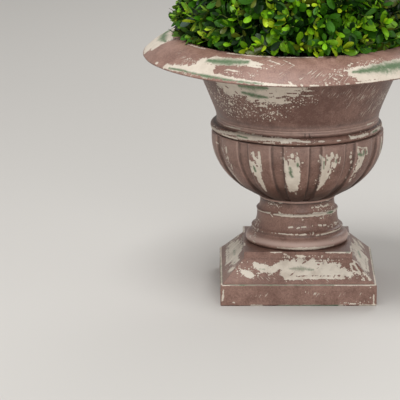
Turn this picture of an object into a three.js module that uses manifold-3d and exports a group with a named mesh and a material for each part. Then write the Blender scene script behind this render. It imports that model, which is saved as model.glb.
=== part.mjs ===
// A clipped box ball growing in a footed garden urn, with a square plinth, a lobed bowl and a wide brim.
// Millimetres, +Z up, the front faces -Y, and the origin lies under the middle of the plinth.
import * as THREE from "three";
import { mergeVertices } from "three/addons/utils/BufferGeometryUtils.js";
import Module from "manifold-3d";

const gap = 0.3; // left between pieces that touch
const wall = 3; // of the urn's sheet metal
const shortestEdge = 0.1; // shorter ones close up when pieces are joined

// Foot of the urn: a square block, and a slope that rises from it to a smaller square
const plinthHalf = 115;
const plinthTop = 32;
const plinthBevel = 1.5;
const slopeFootHalf = 112;
const slopeTopHalf = 80;
const slopeTop = 73;
const slopeBand = 9; // upright band under the slope's top
const slopeHollow = 5; // how far the slope's curve keeps off the band's foot

// Turned stem of the urn: a fat ring at its foot, two ridges and a waist under the bowl
const footRingRadius = 76.5;
const footRingTop = 89.5;
const footRingInset = 6; // of the ring's two edges from its widest
const lowRidgeRadius = 68;
const lowRidgeHeight = 95.8;
const highRidgeRadius = 60.7;
const highRidgeHeight = 122;
const ridgeStep = 1; // a ridge stands out this far over the curve below it
const ridgeSlant = 2.5; // height of a ridge's sloping top
const waistRadius = 55;
const stemTop = 144;

// Bowl: half an ellipse with upright lobes on its outside
const bowlRadius = 127.5;
const bowlDepth = 101.8;
const bowlMiddle = 236; // height of the ellipse's middle
const bowlTop = 242.5;
const bowlWall = 8;
const bowlFloor = 152;
const rimBevel = 1;
const lobes = 14;
const lobeTop = 237;
const lobeDepth = 4;
const firstLobe = -2; // degrees from the front, to the left

// Belt of two beads round the bowl's top
const beltTop = 264.6;
const beltInside = 112;
const beadRadius = 5.8;
const beadReach = 127.5;
const beadMargin = 0.8; // of plain metal under the fat bead
const thinBeadRadius = 3;
const thinBeadReach = 120.3;

// Flare above the belt, and the brim that turns over its top and droops to a thin lip
const flareFootRadius = 119.5;
const flareTopRadius = 173;
const flareTop = 381;
const flareSpread = 0.36; // outwards for each millimetre up, at the foot
const crestRadius = 177;
const crestHeight = 387;
const brimBendRadius = 205.5;
const brimBendHeight = 382;
const lipRadius = 229.5;
const lipHeight = 356;

// Soil in the bowl, and the shrub's short woody stem
const soilTop = 255;
const soilDome = 3;
const soilMargin = 1; // between the soil and the belt
const trunkFootRadius = 14;
const trunkRadius = 9.5;
const trunkTaper = 1;
const trunkFlare = 24; // height over which the stem's foot spreads
const trunkTop = 342;

// Clipped ball: a core that sprigs of leaves stand out of
const ballHeight = 425; // of its middle
const ballReach = 193;
const coreRadius = 165;
const coreFoot = 266; // height at which the core ends above the soil
const coreClearance = 5; // from the flare
const sprigs = 84;
const sprigRoot = 146; // from the ball's middle, well inside the core
const sprigTip = 177;
const twigFootRadius = 3.4;
const twigTipRadius = 2.2;
const rootSink = 0.8; // of a leaf's root past the middle of its twig
const leafThickness = 2;
const broadestShare = 0.58; // of a leaf's length, from its root
const leafClearance = 1.2; // from the urn and the soil
const sprigLean = 0.25; // of its direction, at random
const turnSpread = 0.5; // radians, of a leaf round its twig
const splaySpread = 16; // degrees
const smallestLeaf = 0.9; // of the sizes below
const leafSpread = 0.25;
const reachSpread = 5; // how unevenly the ball is clipped
const seed = 12;

// Pairs of leaves on a sprig, from the lowest pair to the tip
const leafPairs = [
  { height: 169, splay: 75, length: 48, width: 29 },
  { height: 172, splay: 55, length: 38, width: 25 },
  { height: 175, splay: 28, length: 24, width: 18 },
];

const degree = Math.PI / 180;
const goldenAngle = Math.PI * (3 - Math.sqrt(5));
const up = new THREE.Vector3(0, 0, 1);

const wasm = await Module();
wasm.setup();

// A solid for cutting and joining, from a closed geometry
function solidFrom(geometry) {
  const bare = new THREE.BufferGeometry();
  bare.setAttribute("position", geometry.getAttribute("position"));
  bare.setIndex(geometry.getIndex());
  const merged = mergeVertices(bare, 1e-3);
  const corners = merged.getIndex().array;
  const faces = [];
  for (let i = 0; i < corners.length; i += 3) {
    const [a, b, c] = corners.slice(i, i + 3);
    if (a !== b && b !== c && c !== a) faces.push(a, b, c);
  }
  const vertProperties = merged.getAttribute("position").array;
  const triVerts = new Uint32Array(faces);
  return new wasm.Manifold(new wasm.Mesh({ numProp: 3, vertProperties, triVerts, tolerance: shortestEdge }));
}

function geometryFrom(solid) {
  const mesh = solid.getMesh();
  const geometry = new THREE.BufferGeometry();
  geometry.setAttribute("position", new THREE.BufferAttribute(mesh.vertProperties, 3));
  geometry.setIndex(new THREE.BufferAttribute(mesh.triVerts, 1));
  geometry.computeVertexNormals();
  return geometry;
}

// The largest body of a solid, so that loose scraps go and sealed hollows fill
function mainBody(solid) {
  return solid.decompose().reduce((best, body) => (body.volume() > best.volume() ? body : best));
}

// A closed solid turned about Z from a path of radius and height
function turned(path, sides, steps = 4) {
  return new THREE.LatheGeometry(path.getPoints(steps), sides).rotateX(Math.PI / 2);
}

// The same for a square plan, where the path's radius is half a side
function squared(path, steps = 4) {
  const points = path.getPoints(steps).map((point) => new THREE.Vector2(point.x * Math.SQRT2, point.y));
  return new THREE.LatheGeometry(points, 4).rotateX(Math.PI / 2).rotateZ(Math.PI / 4);
}

function plinthShape() {
  const path = new THREE.Path()
    .moveTo(0, 0)
    .lineTo(plinthHalf - plinthBevel, 0)
    .lineTo(plinthHalf, plinthBevel)
    .lineTo(plinthHalf, plinthTop - plinthBevel)
    .lineTo(plinthHalf - plinthBevel, plinthTop)
    .lineTo(0, plinthTop);
  return squared(path);
}

function slopeShape() {
  const foot = plinthTop + gap;
  const bandFoot = slopeTop - slopeBand;
  const path = new THREE.Path()
    .moveTo(0, foot)
    .lineTo(slopeFootHalf, foot)
    .quadraticCurveTo(slopeTopHalf + slopeHollow, bandFoot - slopeHollow, slopeTopHalf, bandFoot)
    .lineTo(slopeTopHalf, slopeTop)
    .lineTo(0, slopeTop);
  return squared(path);
}

// A ridge and the hollow curve above it, which ends under the next one
function addRidge(path, radius, height, nextRadius, nextHeight) {
  const top = height + ridgeSlant;
  path.lineTo(radius, height);
  path.lineTo(radius - 2 * ridgeStep, top);
  path.quadraticCurveTo(nextRadius, top + ridgeSlant, nextRadius, nextHeight);
}

function stemShape() {
  const foot = slopeTop + gap;
  const edge = footRingRadius - footRingInset;
  const bulge = footRingRadius + footRingInset / 3;
  const shoulder = lowRidgeRadius - ridgeStep;
  const path = new THREE.Path()
    .moveTo(0, foot)
    .lineTo(edge, foot)
    .bezierCurveTo(bulge, foot, bulge, footRingTop - footRingInset, edge, footRingTop)
    .quadraticCurveTo(shoulder, footRingTop, shoulder, lowRidgeHeight - ridgeStep);
  addRidge(path, lowRidgeRadius, lowRidgeHeight, highRidgeRadius - ridgeStep, highRidgeHeight - ridgeStep);
  addRidge(path, highRidgeRadius, highRidgeHeight, waistRadius, stemTop);
  path.lineTo(0, stemTop);
  return turned(path, 32, 3);
}

// The bowl's outline, inset by a margin, from the axis at its foot up to a rim
function bowlPath(inset, foot, rim) {
  const radius = bowlRadius - inset;
  const depth = bowlDepth - inset;
  const start = Math.asin((foot - bowlMiddle) / depth);
  const path = new THREE.Path().moveTo(0, foot);
  path.lineTo(radius * Math.cos(start), foot);
  path.absellipse(0, bowlMiddle, radius, depth, start, 0);
  path.lineTo(radius, rim - rimBevel);
  path.lineTo(radius - rimBevel, rim);
  return path.lineTo(0, rim);
}

// Pushes the strips between the lobes in, deepest midway between two lobes
function cutLobes(geometry) {
  const position = geometry.getAttribute("position");
  const spacing = 360 / lobes;
  for (let i = 0; i < position.count; i++) {
    const x = position.getX(i);
    const y = position.getY(i);
    const radius = Math.hypot(x, y);
    const height = position.getZ(i);
    if (radius < 1 || height > lobeTop) continue;
    const bearing = Math.atan2(x, -y) / degree - firstLobe;
    const place = Math.abs(bearing / spacing - Math.round(bearing / spacing)) * 2;
    const depth = lobeDepth * (radius / bowlRadius) * place ** 3;
    position.setXY(i, x * (1 - depth / radius), y * (1 - depth / radius));
  }
  return geometry;
}

function bowlShape() {
  const outside = turned(bowlPath(0, stemTop + gap, bowlTop), lobes * 6, 4);
  outside.rotateZ(firstLobe * degree);
  const inside = turned(bowlPath(bowlWall, bowlFloor, bowlTop + wall), 28, 3);
  return geometryFrom(solidFrom(cutLobes(outside)).subtract(solidFrom(inside)));
}

function beltShape() {
  const foot = bowlTop + gap;
  const beadHeight = foot + beadRadius + beadMargin;
  const thinBeadHeight = beltTop - thinBeadRadius - beadMargin / 2;
  const path = new THREE.Path()
    .moveTo(beltInside, foot)
    .lineTo(beadReach - beadRadius, foot)
    .absarc(beadReach - beadRadius, beadHeight, beadRadius, -80 * degree, 90 * degree)
    .absarc(thinBeadReach - thinBeadRadius, thinBeadHeight, thinBeadRadius, -80 * degree, 80 * degree)
    .lineTo(thinBeadReach - thinBeadRadius, beltTop)
    .lineTo(beltInside, beltTop)
    .closePath();
  return turned(path, 36, 2);
}

function flareShape() {
  const foot = beltTop + gap;
  const middle = (foot + flareTop) / 2;
  const middleRadius = flareFootRadius + flareSpread * (middle - foot);
  const path = new THREE.Path()
    .moveTo(flareFootRadius, foot)
    .quadraticCurveTo(middleRadius, middle, flareTopRadius, flareTop)
    .lineTo(flareTopRadius - wall, flareTop)
    .quadraticCurveTo(middleRadius - wall, middle, flareFootRadius - wall, foot)
    .closePath();
  return turned(path, 42, 3);
}

function brimShape() {
  const foot = flareTop + gap;
  const path = new THREE.Path()
    .moveTo(flareTopRadius, foot)
    .lineTo(crestRadius, crestHeight - wall)
    .quadraticCurveTo(brimBendRadius - wall, brimBendHeight - wall, lipRadius - wall, lipHeight - wall / 2)
    .lineTo(lipRadius, lipHeight)
    .quadraticCurveTo(brimBendRadius, brimBendHeight, crestRadius, crestHeight)
    .quadraticCurveTo(flareTopRadius, crestHeight, flareTopRadius - wall, foot)
    .closePath();
  return turned(path, 48, 3);
}

// The radius inside the flare's wall at a height
function flareInside(height) {
  const foot = beltTop + gap;
  const share = THREE.MathUtils.clamp((height - foot) / (flareTop - foot), 0, 1);
  const straight = flareFootRadius + flareSpread * share * (flareTop - foot);
  const bend = (flareTopRadius - flareFootRadius - flareSpread * (flareTop - foot)) * share ** 2;
  return straight + bend - wall;
}

// The height of the brim's upper face at a radius past its crest
function brimOutside(radius) {
  const across = crestRadius - 2 * brimBendRadius + lipRadius;
  const slope = brimBendRadius - crestRadius;
  const past = Math.max(radius - crestRadius, 0);
  const share = (Math.sqrt(slope * slope + across * past) - slope) / across;
  const bend = 2 * share * (1 - share) * brimBendHeight;
  return (1 - share) ** 2 * crestHeight + bend + share ** 2 * lipHeight;
}

function soilShape() {
  const inset = bowlWall + gap;
  const radius = beltInside - soilMargin;
  const path = new THREE.Path().moveTo(0, bowlFloor + gap);
  const start = Math.asin((bowlFloor + gap - bowlMiddle) / (bowlDepth - inset));
  path.lineTo((bowlRadius - inset) * Math.cos(start), bowlFloor + gap);
  path.absellipse(0, bowlMiddle, bowlRadius - inset, bowlDepth - inset, start, 0);
  path.lineTo(radius, bowlMiddle + soilMargin);
  path.lineTo(radius, soilTop);
  path.quadraticCurveTo(radius / 2, soilTop + soilDome, 0, soilTop + soilDome);
  return turned(path, 28, 3);
}

function trunkShape() {
  const foot = soilTop + soilDome + gap;
  const path = new THREE.Path()
    .moveTo(0, foot)
    .lineTo(trunkFootRadius, foot)
    .quadraticCurveTo(trunkRadius + trunkTaper, foot + trunkFlare / 4, trunkRadius, foot + trunkFlare)
    .lineTo(trunkRadius - trunkTaper, trunkTop)
    .lineTo(0, trunkTop);
  return turned(path, 10, 3);
}

// The same numbers each time, between 0 and 1
function seededNumbers(start) {
  let state = start;
  return () => {
    state = (state * 1664525 + 1013904223) % 4294967296;
    return state / 4294967296;
  };
}

// True where a point of a sprig is inside the ball's space and clear of soil, stem and urn
function hasRoom(point) {
  const radius = Math.hypot(point.x, point.y);
  const fromMiddle = Math.hypot(radius, point.z - ballHeight);
  if (fromMiddle > ballReach + shortestEdge) return false;
  if (point.z < soilTop + soilDome + leafClearance) return false;
  if (point.z < ballHeight && radius < trunkFootRadius + leafClearance) return false;
  if (radius > flareTopRadius - wall) return point.z > brimOutside(radius) + leafClearance;
  return point.z > crestHeight || radius < flareInside(point.z) - leafClearance;
}

// How far from a point, along a direction, the ball's clipped surface lies
function lengthToReach(from, along, reach) {
  const middle = new THREE.Vector3(0, 0, ballHeight);
  const out = from.clone().sub(middle);
  const slope = out.dot(along);
  return -slope + Math.sqrt(slope * slope + reach * reach - out.lengthSq());
}

// A three-sided twig between two points, closed at both ends
function twigShape(from, to) {
  const twig = new THREE.CylinderGeometry(twigTipRadius, twigFootRadius, from.distanceTo(to), 3, 1);
  const turn = new THREE.Quaternion().setFromUnitVectors(
    new THREE.Vector3(0, 1, 0),
    to.clone().sub(from).normalize(),
  );
  const middle = from.clone().add(to).multiplyScalar(0.5);
  return twig.applyQuaternion(turn).translate(middle.x, middle.y, middle.z);
}

// A leaf of eight faces: its corners are the root, the tip, two sides, and a face either way
function leafCorners(leaf) {
  const broadest = leaf.root.clone().addScaledVector(leaf.along, leaf.length * broadestShare);
  const side = leaf.across.clone().multiplyScalar(leaf.width / 2);
  const face = leaf.across.clone().cross(leaf.along).multiplyScalar(leafThickness / 2);
  return {
    root: leaf.root.clone(),
    tip: leaf.root.clone().addScaledVector(leaf.along, leaf.length),
    left: broadest.clone().add(side),
    right: broadest.clone().sub(side),
    over: broadest.clone().add(face),
    under: broadest.clone().sub(face),
  };
}

function leafShape(corners) {
  const { root, tip, left, right, over, under } = corners;
  const faces = [
    [root, left, over],
    [root, over, right],
    [root, right, under],
    [root, under, left],
    [tip, over, left],
    [tip, right, over],
    [tip, under, right],
    [tip, left, under],
  ];
  return new THREE.BufferGeometry().setFromPoints(faces.flat());
}

// Points along a leaf's middle and edges, from near its root to its tip
function leafSamples({ root, tip, left, right, over }) {
  const samples = [];
  for (const edge of [left, right, over]) {
    for (const share of [0.5, 1]) {
      samples.push(root.clone().lerp(edge, share), tip.clone().lerp(edge, share));
    }
  }
  return [...samples, tip];
}

// A number from -0.5 to 0.5 times a width
function spreadOver(width, random) {
  return (random() - 0.5) * width;
}

// One sprig: a twig with pairs of leaves, each pair at right angles to the one below it
function addSprig(pieces, outward, random) {
  const middle = new THREE.Vector3(0, 0, ballHeight);
  const lean = new THREE.Vector3(...[0, 1, 2].map(() => spreadOver(sprigLean, random)));
  const direction = outward.clone().add(lean).normalize();
  const start = middle.clone().addScaledVector(outward, sprigRoot);
  const end = start.clone().addScaledVector(direction, sprigTip - sprigRoot);
  if (!hasRoom(end)) return;
  pieces.push(twigShape(start, end));
  const sideways = new THREE.Vector3().crossVectors(direction, up).normalize();
  const firstTurn = random() * Math.PI;
  for (const [index, pair] of leafPairs.entries()) {
    for (const half of [0, Math.PI]) {
      const turn = firstTurn + index * (Math.PI / 2) + half + spreadOver(turnSpread, random);
      const outwards = sideways.clone().applyAxisAngle(direction, turn);
      const splay = (pair.splay + spreadOver(splaySpread, random)) * degree;
      const along = direction.clone().multiplyScalar(Math.cos(splay));
      along.addScaledVector(outwards, Math.sin(splay));
      const across = new THREE.Vector3().crossVectors(direction, outwards).normalize();
      const root = start.clone().addScaledVector(direction, pair.height - sprigRoot);
      root.addScaledVector(along, -rootSink);
      const size = smallestLeaf + random() * leafSpread;
      const clipped = lengthToReach(root, along, ballReach - random() * reachSpread);
      const length = Math.min(pair.length * size, clipped);
      const corners = leafCorners({ root, along, across, length, width: pair.width * size });
      if (leafSamples(corners).every(hasRoom)) pieces.push(leafShape(corners));
    }
  }
}

// The space that the core may fill: open above the crest, and inside the flare below it
function coreSpace() {
  const inset = wall + coreClearance;
  const middle = (coreFoot + flareTop) / 2;
  const footRadius = flareInside(coreFoot) - coreClearance;
  const middleRadius = footRadius + flareSpread * (middle - coreFoot);
  const path = new THREE.Path()
    .moveTo(0, coreFoot)
    .lineTo(footRadius, coreFoot)
    .quadraticCurveTo(middleRadius, middle, flareTopRadius - inset, flareTop)
    .lineTo(flareTopRadius - inset, crestHeight)
    .lineTo(lipRadius, crestHeight + coreClearance)
    .lineTo(lipRadius, ballHeight + ballReach)
    .lineTo(0, ballHeight + ballReach);
  return turned(path, 30, 3);
}

function coreShape() {
  const ball = new THREE.IcosahedronGeometry(coreRadius, 3).translate(0, 0, ballHeight);
  return geometryFrom(solidFrom(ball).intersect(solidFrom(coreSpace())));
}

function ballShape() {
  const random = seededNumbers(seed);
  const pieces = [];
  for (let i = 0; i < sprigs; i++) {
    const level = 1 - (2 * (i + 0.5)) / sprigs;
    const turn = i * goldenAngle;
    const spread = Math.sqrt(1 - level * level);
    addSprig(pieces, new THREE.Vector3(spread * Math.cos(turn), spread * Math.sin(turn), level), random);
  }
  const pocketRadius = trunkFootRadius + gap;
  const pocketDepth = trunkTop + gap - (ballHeight - coreRadius);
  const pocket = new THREE.CylinderGeometry(pocketRadius, pocketRadius, pocketDepth * 2, 10);
  pocket.rotateX(Math.PI / 2).translate(0, 0, ballHeight - coreRadius);
  let mass = solidFrom(coreShape()).subtract(solidFrom(pocket));
  for (const piece of pieces) mass = mass.add(solidFrom(piece));
  return geometryFrom(mainBody(mass));
}

const paint = { color: 0x9a7a6f, roughness: 0.62, metalness: 0.15 };
const looks = {
  urn_plinth: { shape: plinthShape, ...paint },
  urn_slope: { shape: slopeShape, ...paint },
  urn_stem: { shape: stemShape, ...paint },
  urn_bowl: { shape: bowlShape, ...paint },
  urn_belt: { shape: beltShape, ...paint },
  urn_flare: { shape: flareShape, ...paint },
  urn_brim: { shape: brimShape, ...paint },
  soil: { shape: soilShape, color: 0x2e2219, roughness: 0.95, metalness: 0 },
  woody_stem: { shape: trunkShape, color: 0x6d5a43, roughness: 0.85, metalness: 0 },
  foliage_ball: { shape: ballShape, color: 0x2f5a1b, roughness: 0.45, metalness: 0 },
};

const plant = new THREE.Group();
for (const [name, { shape, ...look }] of Object.entries(looks)) {
  const mesh = new THREE.Mesh(shape(), new THREE.MeshStandardMaterial(look));
  mesh.name = name;
  plant.add(mesh);
}

export default plant;
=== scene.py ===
# A clipped box ball growing in a worn painted garden urn. Metres, +Z up, the front faces -Y.
import math
import random

import bmesh
import bpy
import numpy as np
from mathutils import Matrix, Vector


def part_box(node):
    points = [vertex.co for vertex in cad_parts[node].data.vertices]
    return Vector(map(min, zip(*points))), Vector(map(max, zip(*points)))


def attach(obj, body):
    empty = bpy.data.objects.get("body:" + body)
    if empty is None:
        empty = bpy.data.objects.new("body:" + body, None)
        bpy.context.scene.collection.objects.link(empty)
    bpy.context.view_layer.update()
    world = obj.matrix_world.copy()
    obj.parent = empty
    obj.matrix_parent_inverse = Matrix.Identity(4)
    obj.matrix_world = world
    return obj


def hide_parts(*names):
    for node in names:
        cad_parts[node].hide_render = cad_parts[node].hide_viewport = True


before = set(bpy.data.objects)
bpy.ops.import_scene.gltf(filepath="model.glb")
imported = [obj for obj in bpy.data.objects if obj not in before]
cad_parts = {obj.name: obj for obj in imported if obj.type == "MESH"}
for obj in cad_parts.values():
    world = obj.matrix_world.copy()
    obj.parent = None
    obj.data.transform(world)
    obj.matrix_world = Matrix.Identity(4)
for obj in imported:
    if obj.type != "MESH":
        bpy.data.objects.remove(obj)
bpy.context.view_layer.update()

weldGap = 0.00002  # points nearer than this are one
nodeBoxes = {name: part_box(name) for name in (
    "urn_plinth", "urn_slope", "urn_stem", "urn_bowl", "urn_belt", "urn_flare", "urn_brim", "soil", "woody_stem"
)}


# Camera, floor and light

viewSettings = {
    "place": (-0.145, -5.8006, 1.5394),
    "pitch": 76.37,  # degrees, where 90 is level
    "lens": 360,
    "sensor": 36,
    "farthest": 60,
    "floorSize": 30,
    "floorColor": (0.62, 0.6, 0.57),
    "floorRoughness": 0.8,
    "skyColor": (1.0, 0.99, 0.97),
    "skyStrength": 0.4,
}

lampSettings = [
    # name, place, aimed at, size, power
    ("overheadLamp", (-0.5, -0.8, 2.6), (0, 0, 0.35), 1.3, 44),
    ("frontLamp", (0.7, -3.2, 1.3), (0, 0, 0.2), 1.2, 30),
    ("backLamp", (0.8, 2.2, 2.0), (0, 0, 0.35), 1.4, 20),
]


def newFinish(name):
    finish = bpy.data.materials.new(name)
    finish.use_nodes = True
    return finish, finish.node_tree, finish.node_tree.nodes["Principled BSDF"]


def feed(tree, node, inputs):
    # links sockets and sets plain values
    for key, value in inputs.items():
        if isinstance(value, bpy.types.NodeSocket):
            tree.links.new(value, node.inputs[key])
        else:
            node.inputs[key].default_value = value
    return node


def setTheStage():
    s = viewSettings
    bpy.ops.object.select_all(action="DESELECT")
    bpy.ops.object.camera_add(location=s["place"])
    camera = bpy.context.object
    camera.name = "photoCamera"
    camera.rotation_euler = (math.radians(s["pitch"]), 0, 0)
    camera.data.lens = s["lens"]
    camera.data.sensor_width = s["sensor"]
    camera.data.clip_end = s["farthest"]
    bpy.context.scene.camera = camera

    bpy.ops.mesh.primitive_plane_add(size=s["floorSize"])
    floor = bpy.context.object
    floor.name = "paleFloor"
    finish, tree, shader = newFinish("paleFloor")
    feed(tree, shader, {"Base Color": (*s["floorColor"], 1), "Roughness": s["floorRoughness"]})
    floor.data.materials.append(finish)

    for name, place, aim, size, power in lampSettings:
        bpy.ops.object.light_add(type="AREA", location=place)
        lamp = bpy.context.object
        lamp.name = name
        lamp.data.size = size
        lamp.data.energy = power
        lamp.rotation_euler = (Vector(aim) - Vector(place)).to_track_quat("-Z", "Y").to_euler()

    world = bpy.data.worlds.new("softSky")
    world.use_nodes = True
    sky = world.node_tree.nodes["Background"]
    feed(world.node_tree, sky, {"Color": (*s["skyColor"], 1), "Strength": s["skyStrength"]})
    bpy.context.scene.world = world
    bpy.context.scene.view_settings.view_transform = "Standard"


setTheStage()
print("stage: camera, floor and lamps are set")


# Modelling by hand: what every piece is made with

def selectNothing():
    bpy.ops.object.select_all(action="DESELECT")


def selectAll():
    bpy.ops.mesh.select_all(action="SELECT")


def moveBy(x, y, z):
    bpy.ops.transform.translate(value=(x, y, z))


def pickUp(piece):
    selectNothing()
    piece.select_set(True)
    bpy.context.view_layer.objects.active = piece


def startEditing(piece):
    pickUp(piece)
    bpy.ops.object.mode_set(mode="EDIT")
    bpy.ops.mesh.select_mode(type="VERT")


def stopEditing():
    bpy.ops.object.mode_set(mode="OBJECT")


def choosePoints(piece, fits):
    # selects the points whose place passes a test
    bpy.ops.mesh.select_all(action="DESELECT")
    shape = bmesh.from_edit_mesh(piece.data)
    for point in shape.verts:
        point.select_set(fits(point.co))
    shape.select_flush_mode()
    bmesh.update_edit_mesh(piece.data)


def weld(gap=weldGap):
    selectAll()
    bpy.ops.mesh.remove_doubles(threshold=gap)
    bpy.ops.mesh.normals_make_consistent(inside=False)


# Profiles are lists of (radius, height), drawn with lines, bends and arcs

def lineTo(path, end, spacing):
    start = path[-1]
    steps = max(1, round(math.dist(start, end) / spacing))
    for i in range(1, steps + 1):
        path.append(tuple(a + (b - a) * i / steps for a, b in zip(start, end)))


def bendTo(path, control, end, spacing):
    start = path[-1]
    steps = max(3, round((math.dist(start, control) + math.dist(control, end)) / spacing))
    for i in range(1, steps + 1):
        t = i / steps
        path.append(tuple(
            (1 - t) ** 2 * a + 2 * t * (1 - t) * b + t * t * c for a, b, c in zip(start, control, end)
        ))


def arcTo(path, middle, radius, first, last, spacing=0.001, squash=1):
    # angles in degrees, 0 outwards and 90 up; squash is the arc's height for a width of 1
    length = abs(math.radians(last - first)) * radius
    steps = max(4, round(length / spacing))
    for i in range(steps + 1):
        angle = math.radians(first + (last - first) * i / steps)
        point = (middle[0] + radius * math.cos(angle), middle[1] + radius * squash * math.sin(angle))
        if not path or math.dist(path[-1], point) > weldGap:
            path.append(point)


def spinProfile(path, steps, sweep=math.tau):
    # one point pulled along the profile, then spun round the urn's axis
    selectNothing()
    bpy.ops.mesh.primitive_plane_add(size=0.01)
    piece = bpy.context.object
    startEditing(piece)
    bpy.ops.mesh.merge(type="CENTER")
    moveBy(path[0][0], 0, path[0][1])
    for before, after in zip(path, path[1:]):
        pull = (after[0] - before[0], 0, after[1] - before[1])
        bpy.ops.mesh.extrude_vertices_move(TRANSFORM_OT_translate={"value": pull})
    selectAll()
    bpy.ops.mesh.spin(steps=steps, angle=sweep, center=(0, 0, 0), axis=(0, 0, 1))
    weld()
    stopEditing()
    return piece


def raiseSquare(path, cuts):
    # a square sheet drawn up along a profile of (half width, height), closed at both ends
    selectNothing()
    bpy.ops.mesh.primitive_plane_add(size=2 * path[0][0], location=(0, 0, path[0][1]))
    piece = bpy.context.object
    bpy.ops.object.transform_apply(location=True, rotation=True, scale=True)
    startEditing(piece)
    selectAll()
    bpy.ops.mesh.subdivide(number_cuts=cuts)
    for before, after in zip(path, path[1:]):
        bpy.ops.mesh.extrude_region_move(TRANSFORM_OT_translate={"value": (0, 0, after[1] - before[1])})
        share = after[0] / before[0]
        bpy.ops.transform.resize(value=(share, share, 1), center_override=(0, 0, after[1]))
    weld()
    stopEditing()
    return piece


def roundSharpEdges(piece, radius, sharper=50):
    # rounds the edges that are sharper than an angle in degrees, all but those that the piece stands on
    startEditing(piece)
    bpy.ops.mesh.select_mode(type="EDGE")
    bpy.ops.mesh.select_all(action="DESELECT")
    bpy.ops.mesh.edges_select_sharp(sharpness=math.radians(sharper))
    shape = bmesh.from_edit_mesh(piece.data)
    foot = min(point.co.z for point in shape.verts) + 0.0001
    for edge in shape.edges:
        if all(point.co.z < foot for point in edge.verts):
            edge.select_set(False)
    bmesh.update_edit_mesh(piece.data)
    bpy.ops.mesh.bevel(offset=radius, segments=3, affect="EDGES")
    weld()
    stopEditing()


def pointsOf(piece):
    places = np.empty(len(piece.data.vertices) * 3, np.float32)
    piece.data.vertices.foreach_get("co", places)
    return places.reshape(-1, 3).astype(float)


def measure(piece):
    # every point's bearing in degrees to the right of the front, radius and height
    x, y, z = pointsOf(piece).T
    return np.degrees(np.arctan2(x, -y)), np.hypot(x, y), z


def pushPoints(piece, name, weights, strength, size=None, level=0.0, detail=2, direction="NORMAL"):
    # moves points by their weights, along their normals or one axis, evenly or in clouds of a size
    group = piece.vertex_groups.new(name=name)
    for i in np.flatnonzero(weights > 0.001):
        group.add([int(i)], float(weights[i]), "REPLACE")
    pickUp(piece)
    push = piece.modifiers.new(name, "DISPLACE")
    push.strength = strength
    push.mid_level = level
    push.vertex_group = name
    push.direction = direction
    if size:
        push.texture = bpy.data.textures.new(name, "CLOUDS")
        push.texture.noise_scale = size
        push.texture.noise_depth = detail
    bpy.ops.object.modifier_apply(modifier=name)


def smoothStep(low, high, value):
    share = np.clip((value - low) / (high - low), 0, 1)
    return share * share * (3 - 2 * share)


def swell(value, middle, width):
    # 1 at the middle, falling away smoothly on both sides
    return np.exp(-((value - middle) / width) ** 2)


def finishPiece(piece, name, node, material, crease=40):
    piece.name = name
    piece.data.name = name
    pickUp(piece)
    bpy.ops.object.shade_smooth_by_angle(angle=math.radians(crease))
    piece.data.materials.clear()
    piece.data.materials.append(material)
    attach(piece, "root")
    if node:
        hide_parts(node)
    print(f"{name}: {len(piece.data.polygons)} faces")


# Shader building

def addNode(tree, kind, inputs=None, **settings):
    node = tree.nodes.new(kind)
    for name, value in settings.items():
        setattr(node, name, value)
    return feed(tree, node, inputs or {})


def calc(tree, operation, first, second=0.0):
    return addNode(tree, "ShaderNodeMath", {0: first, 1: second}, operation=operation).outputs[0]


def blend(tree, *terms):
    # the sum of values, each with its weight
    total = None
    for value, weight in terms:
        part = calc(tree, "MULTIPLY", value, weight)
        total = part if total is None else calc(tree, "ADD", total, part)
    return total


def ramp(tree, value, low, high, toLow=0.0, toHigh=1.0, shape="SMOOTHSTEP"):
    inputs = {"Value": value, "From Min": low, "From Max": high, "To Min": toLow, "To Max": toHigh}
    return addNode(tree, "ShaderNodeMapRange", inputs, interpolation_type=shape).outputs["Result"]


def mixColor(tree, share, first, second):
    return addNode(tree, "ShaderNodeMix", {0: share, 6: first, 7: second}, data_type="RGBA").outputs[2]


def grainAt(tree, vector, scale, detail, roughness):
    # noise around zero
    inputs = {"Vector": vector, "Scale": scale, "Detail": detail, "Roughness": roughness}
    return calc(tree, "SUBTRACT", addNode(tree, "ShaderNodeTexNoise", inputs).outputs["Fac"], 0.5)


def relief(tree, height, distance, strength=1.0):
    inputs = {"Height": height, "Distance": distance, "Strength": strength}
    return addNode(tree, "ShaderNodeBump", inputs).outputs["Normal"]


def readMark(tree, name):
    return addNode(tree, "ShaderNodeAttribute", attribute_name=name).outputs["Fac"]


def rgb(red, green, blue):
    # a paint maker's 0 to 255 values as linear light
    def linear(value):
        share = value / 255
        return share / 12.92 if share <= 0.04045 else ((share + 0.055) / 1.055) ** 2.4
    return (linear(red), linear(green), linear(blue), 1.0)


def dotsAt(tree, vector, scale, density, wobble):
    # loose dots, more of them where the density is higher
    cells = addNode(tree, "ShaderNodeTexVoronoi", {"Vector": vector, "Scale": scale, "Randomness": 1.0})
    chance = addNode(tree, "ShaderNodeSeparateColor", {0: cells.outputs["Color"]}).outputs[0]
    dot = ramp(tree, calc(tree, "ADD", cells.outputs["Distance"], wobble), 0.34, 0.42, 1.0, 0.0)
    rare = calc(tree, "SUBTRACT", calc(tree, "MULTIPLY", density, 0.42), chance)
    return calc(tree, "MULTIPLY", dot, ramp(tree, rare, 0.0, 0.03))


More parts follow.
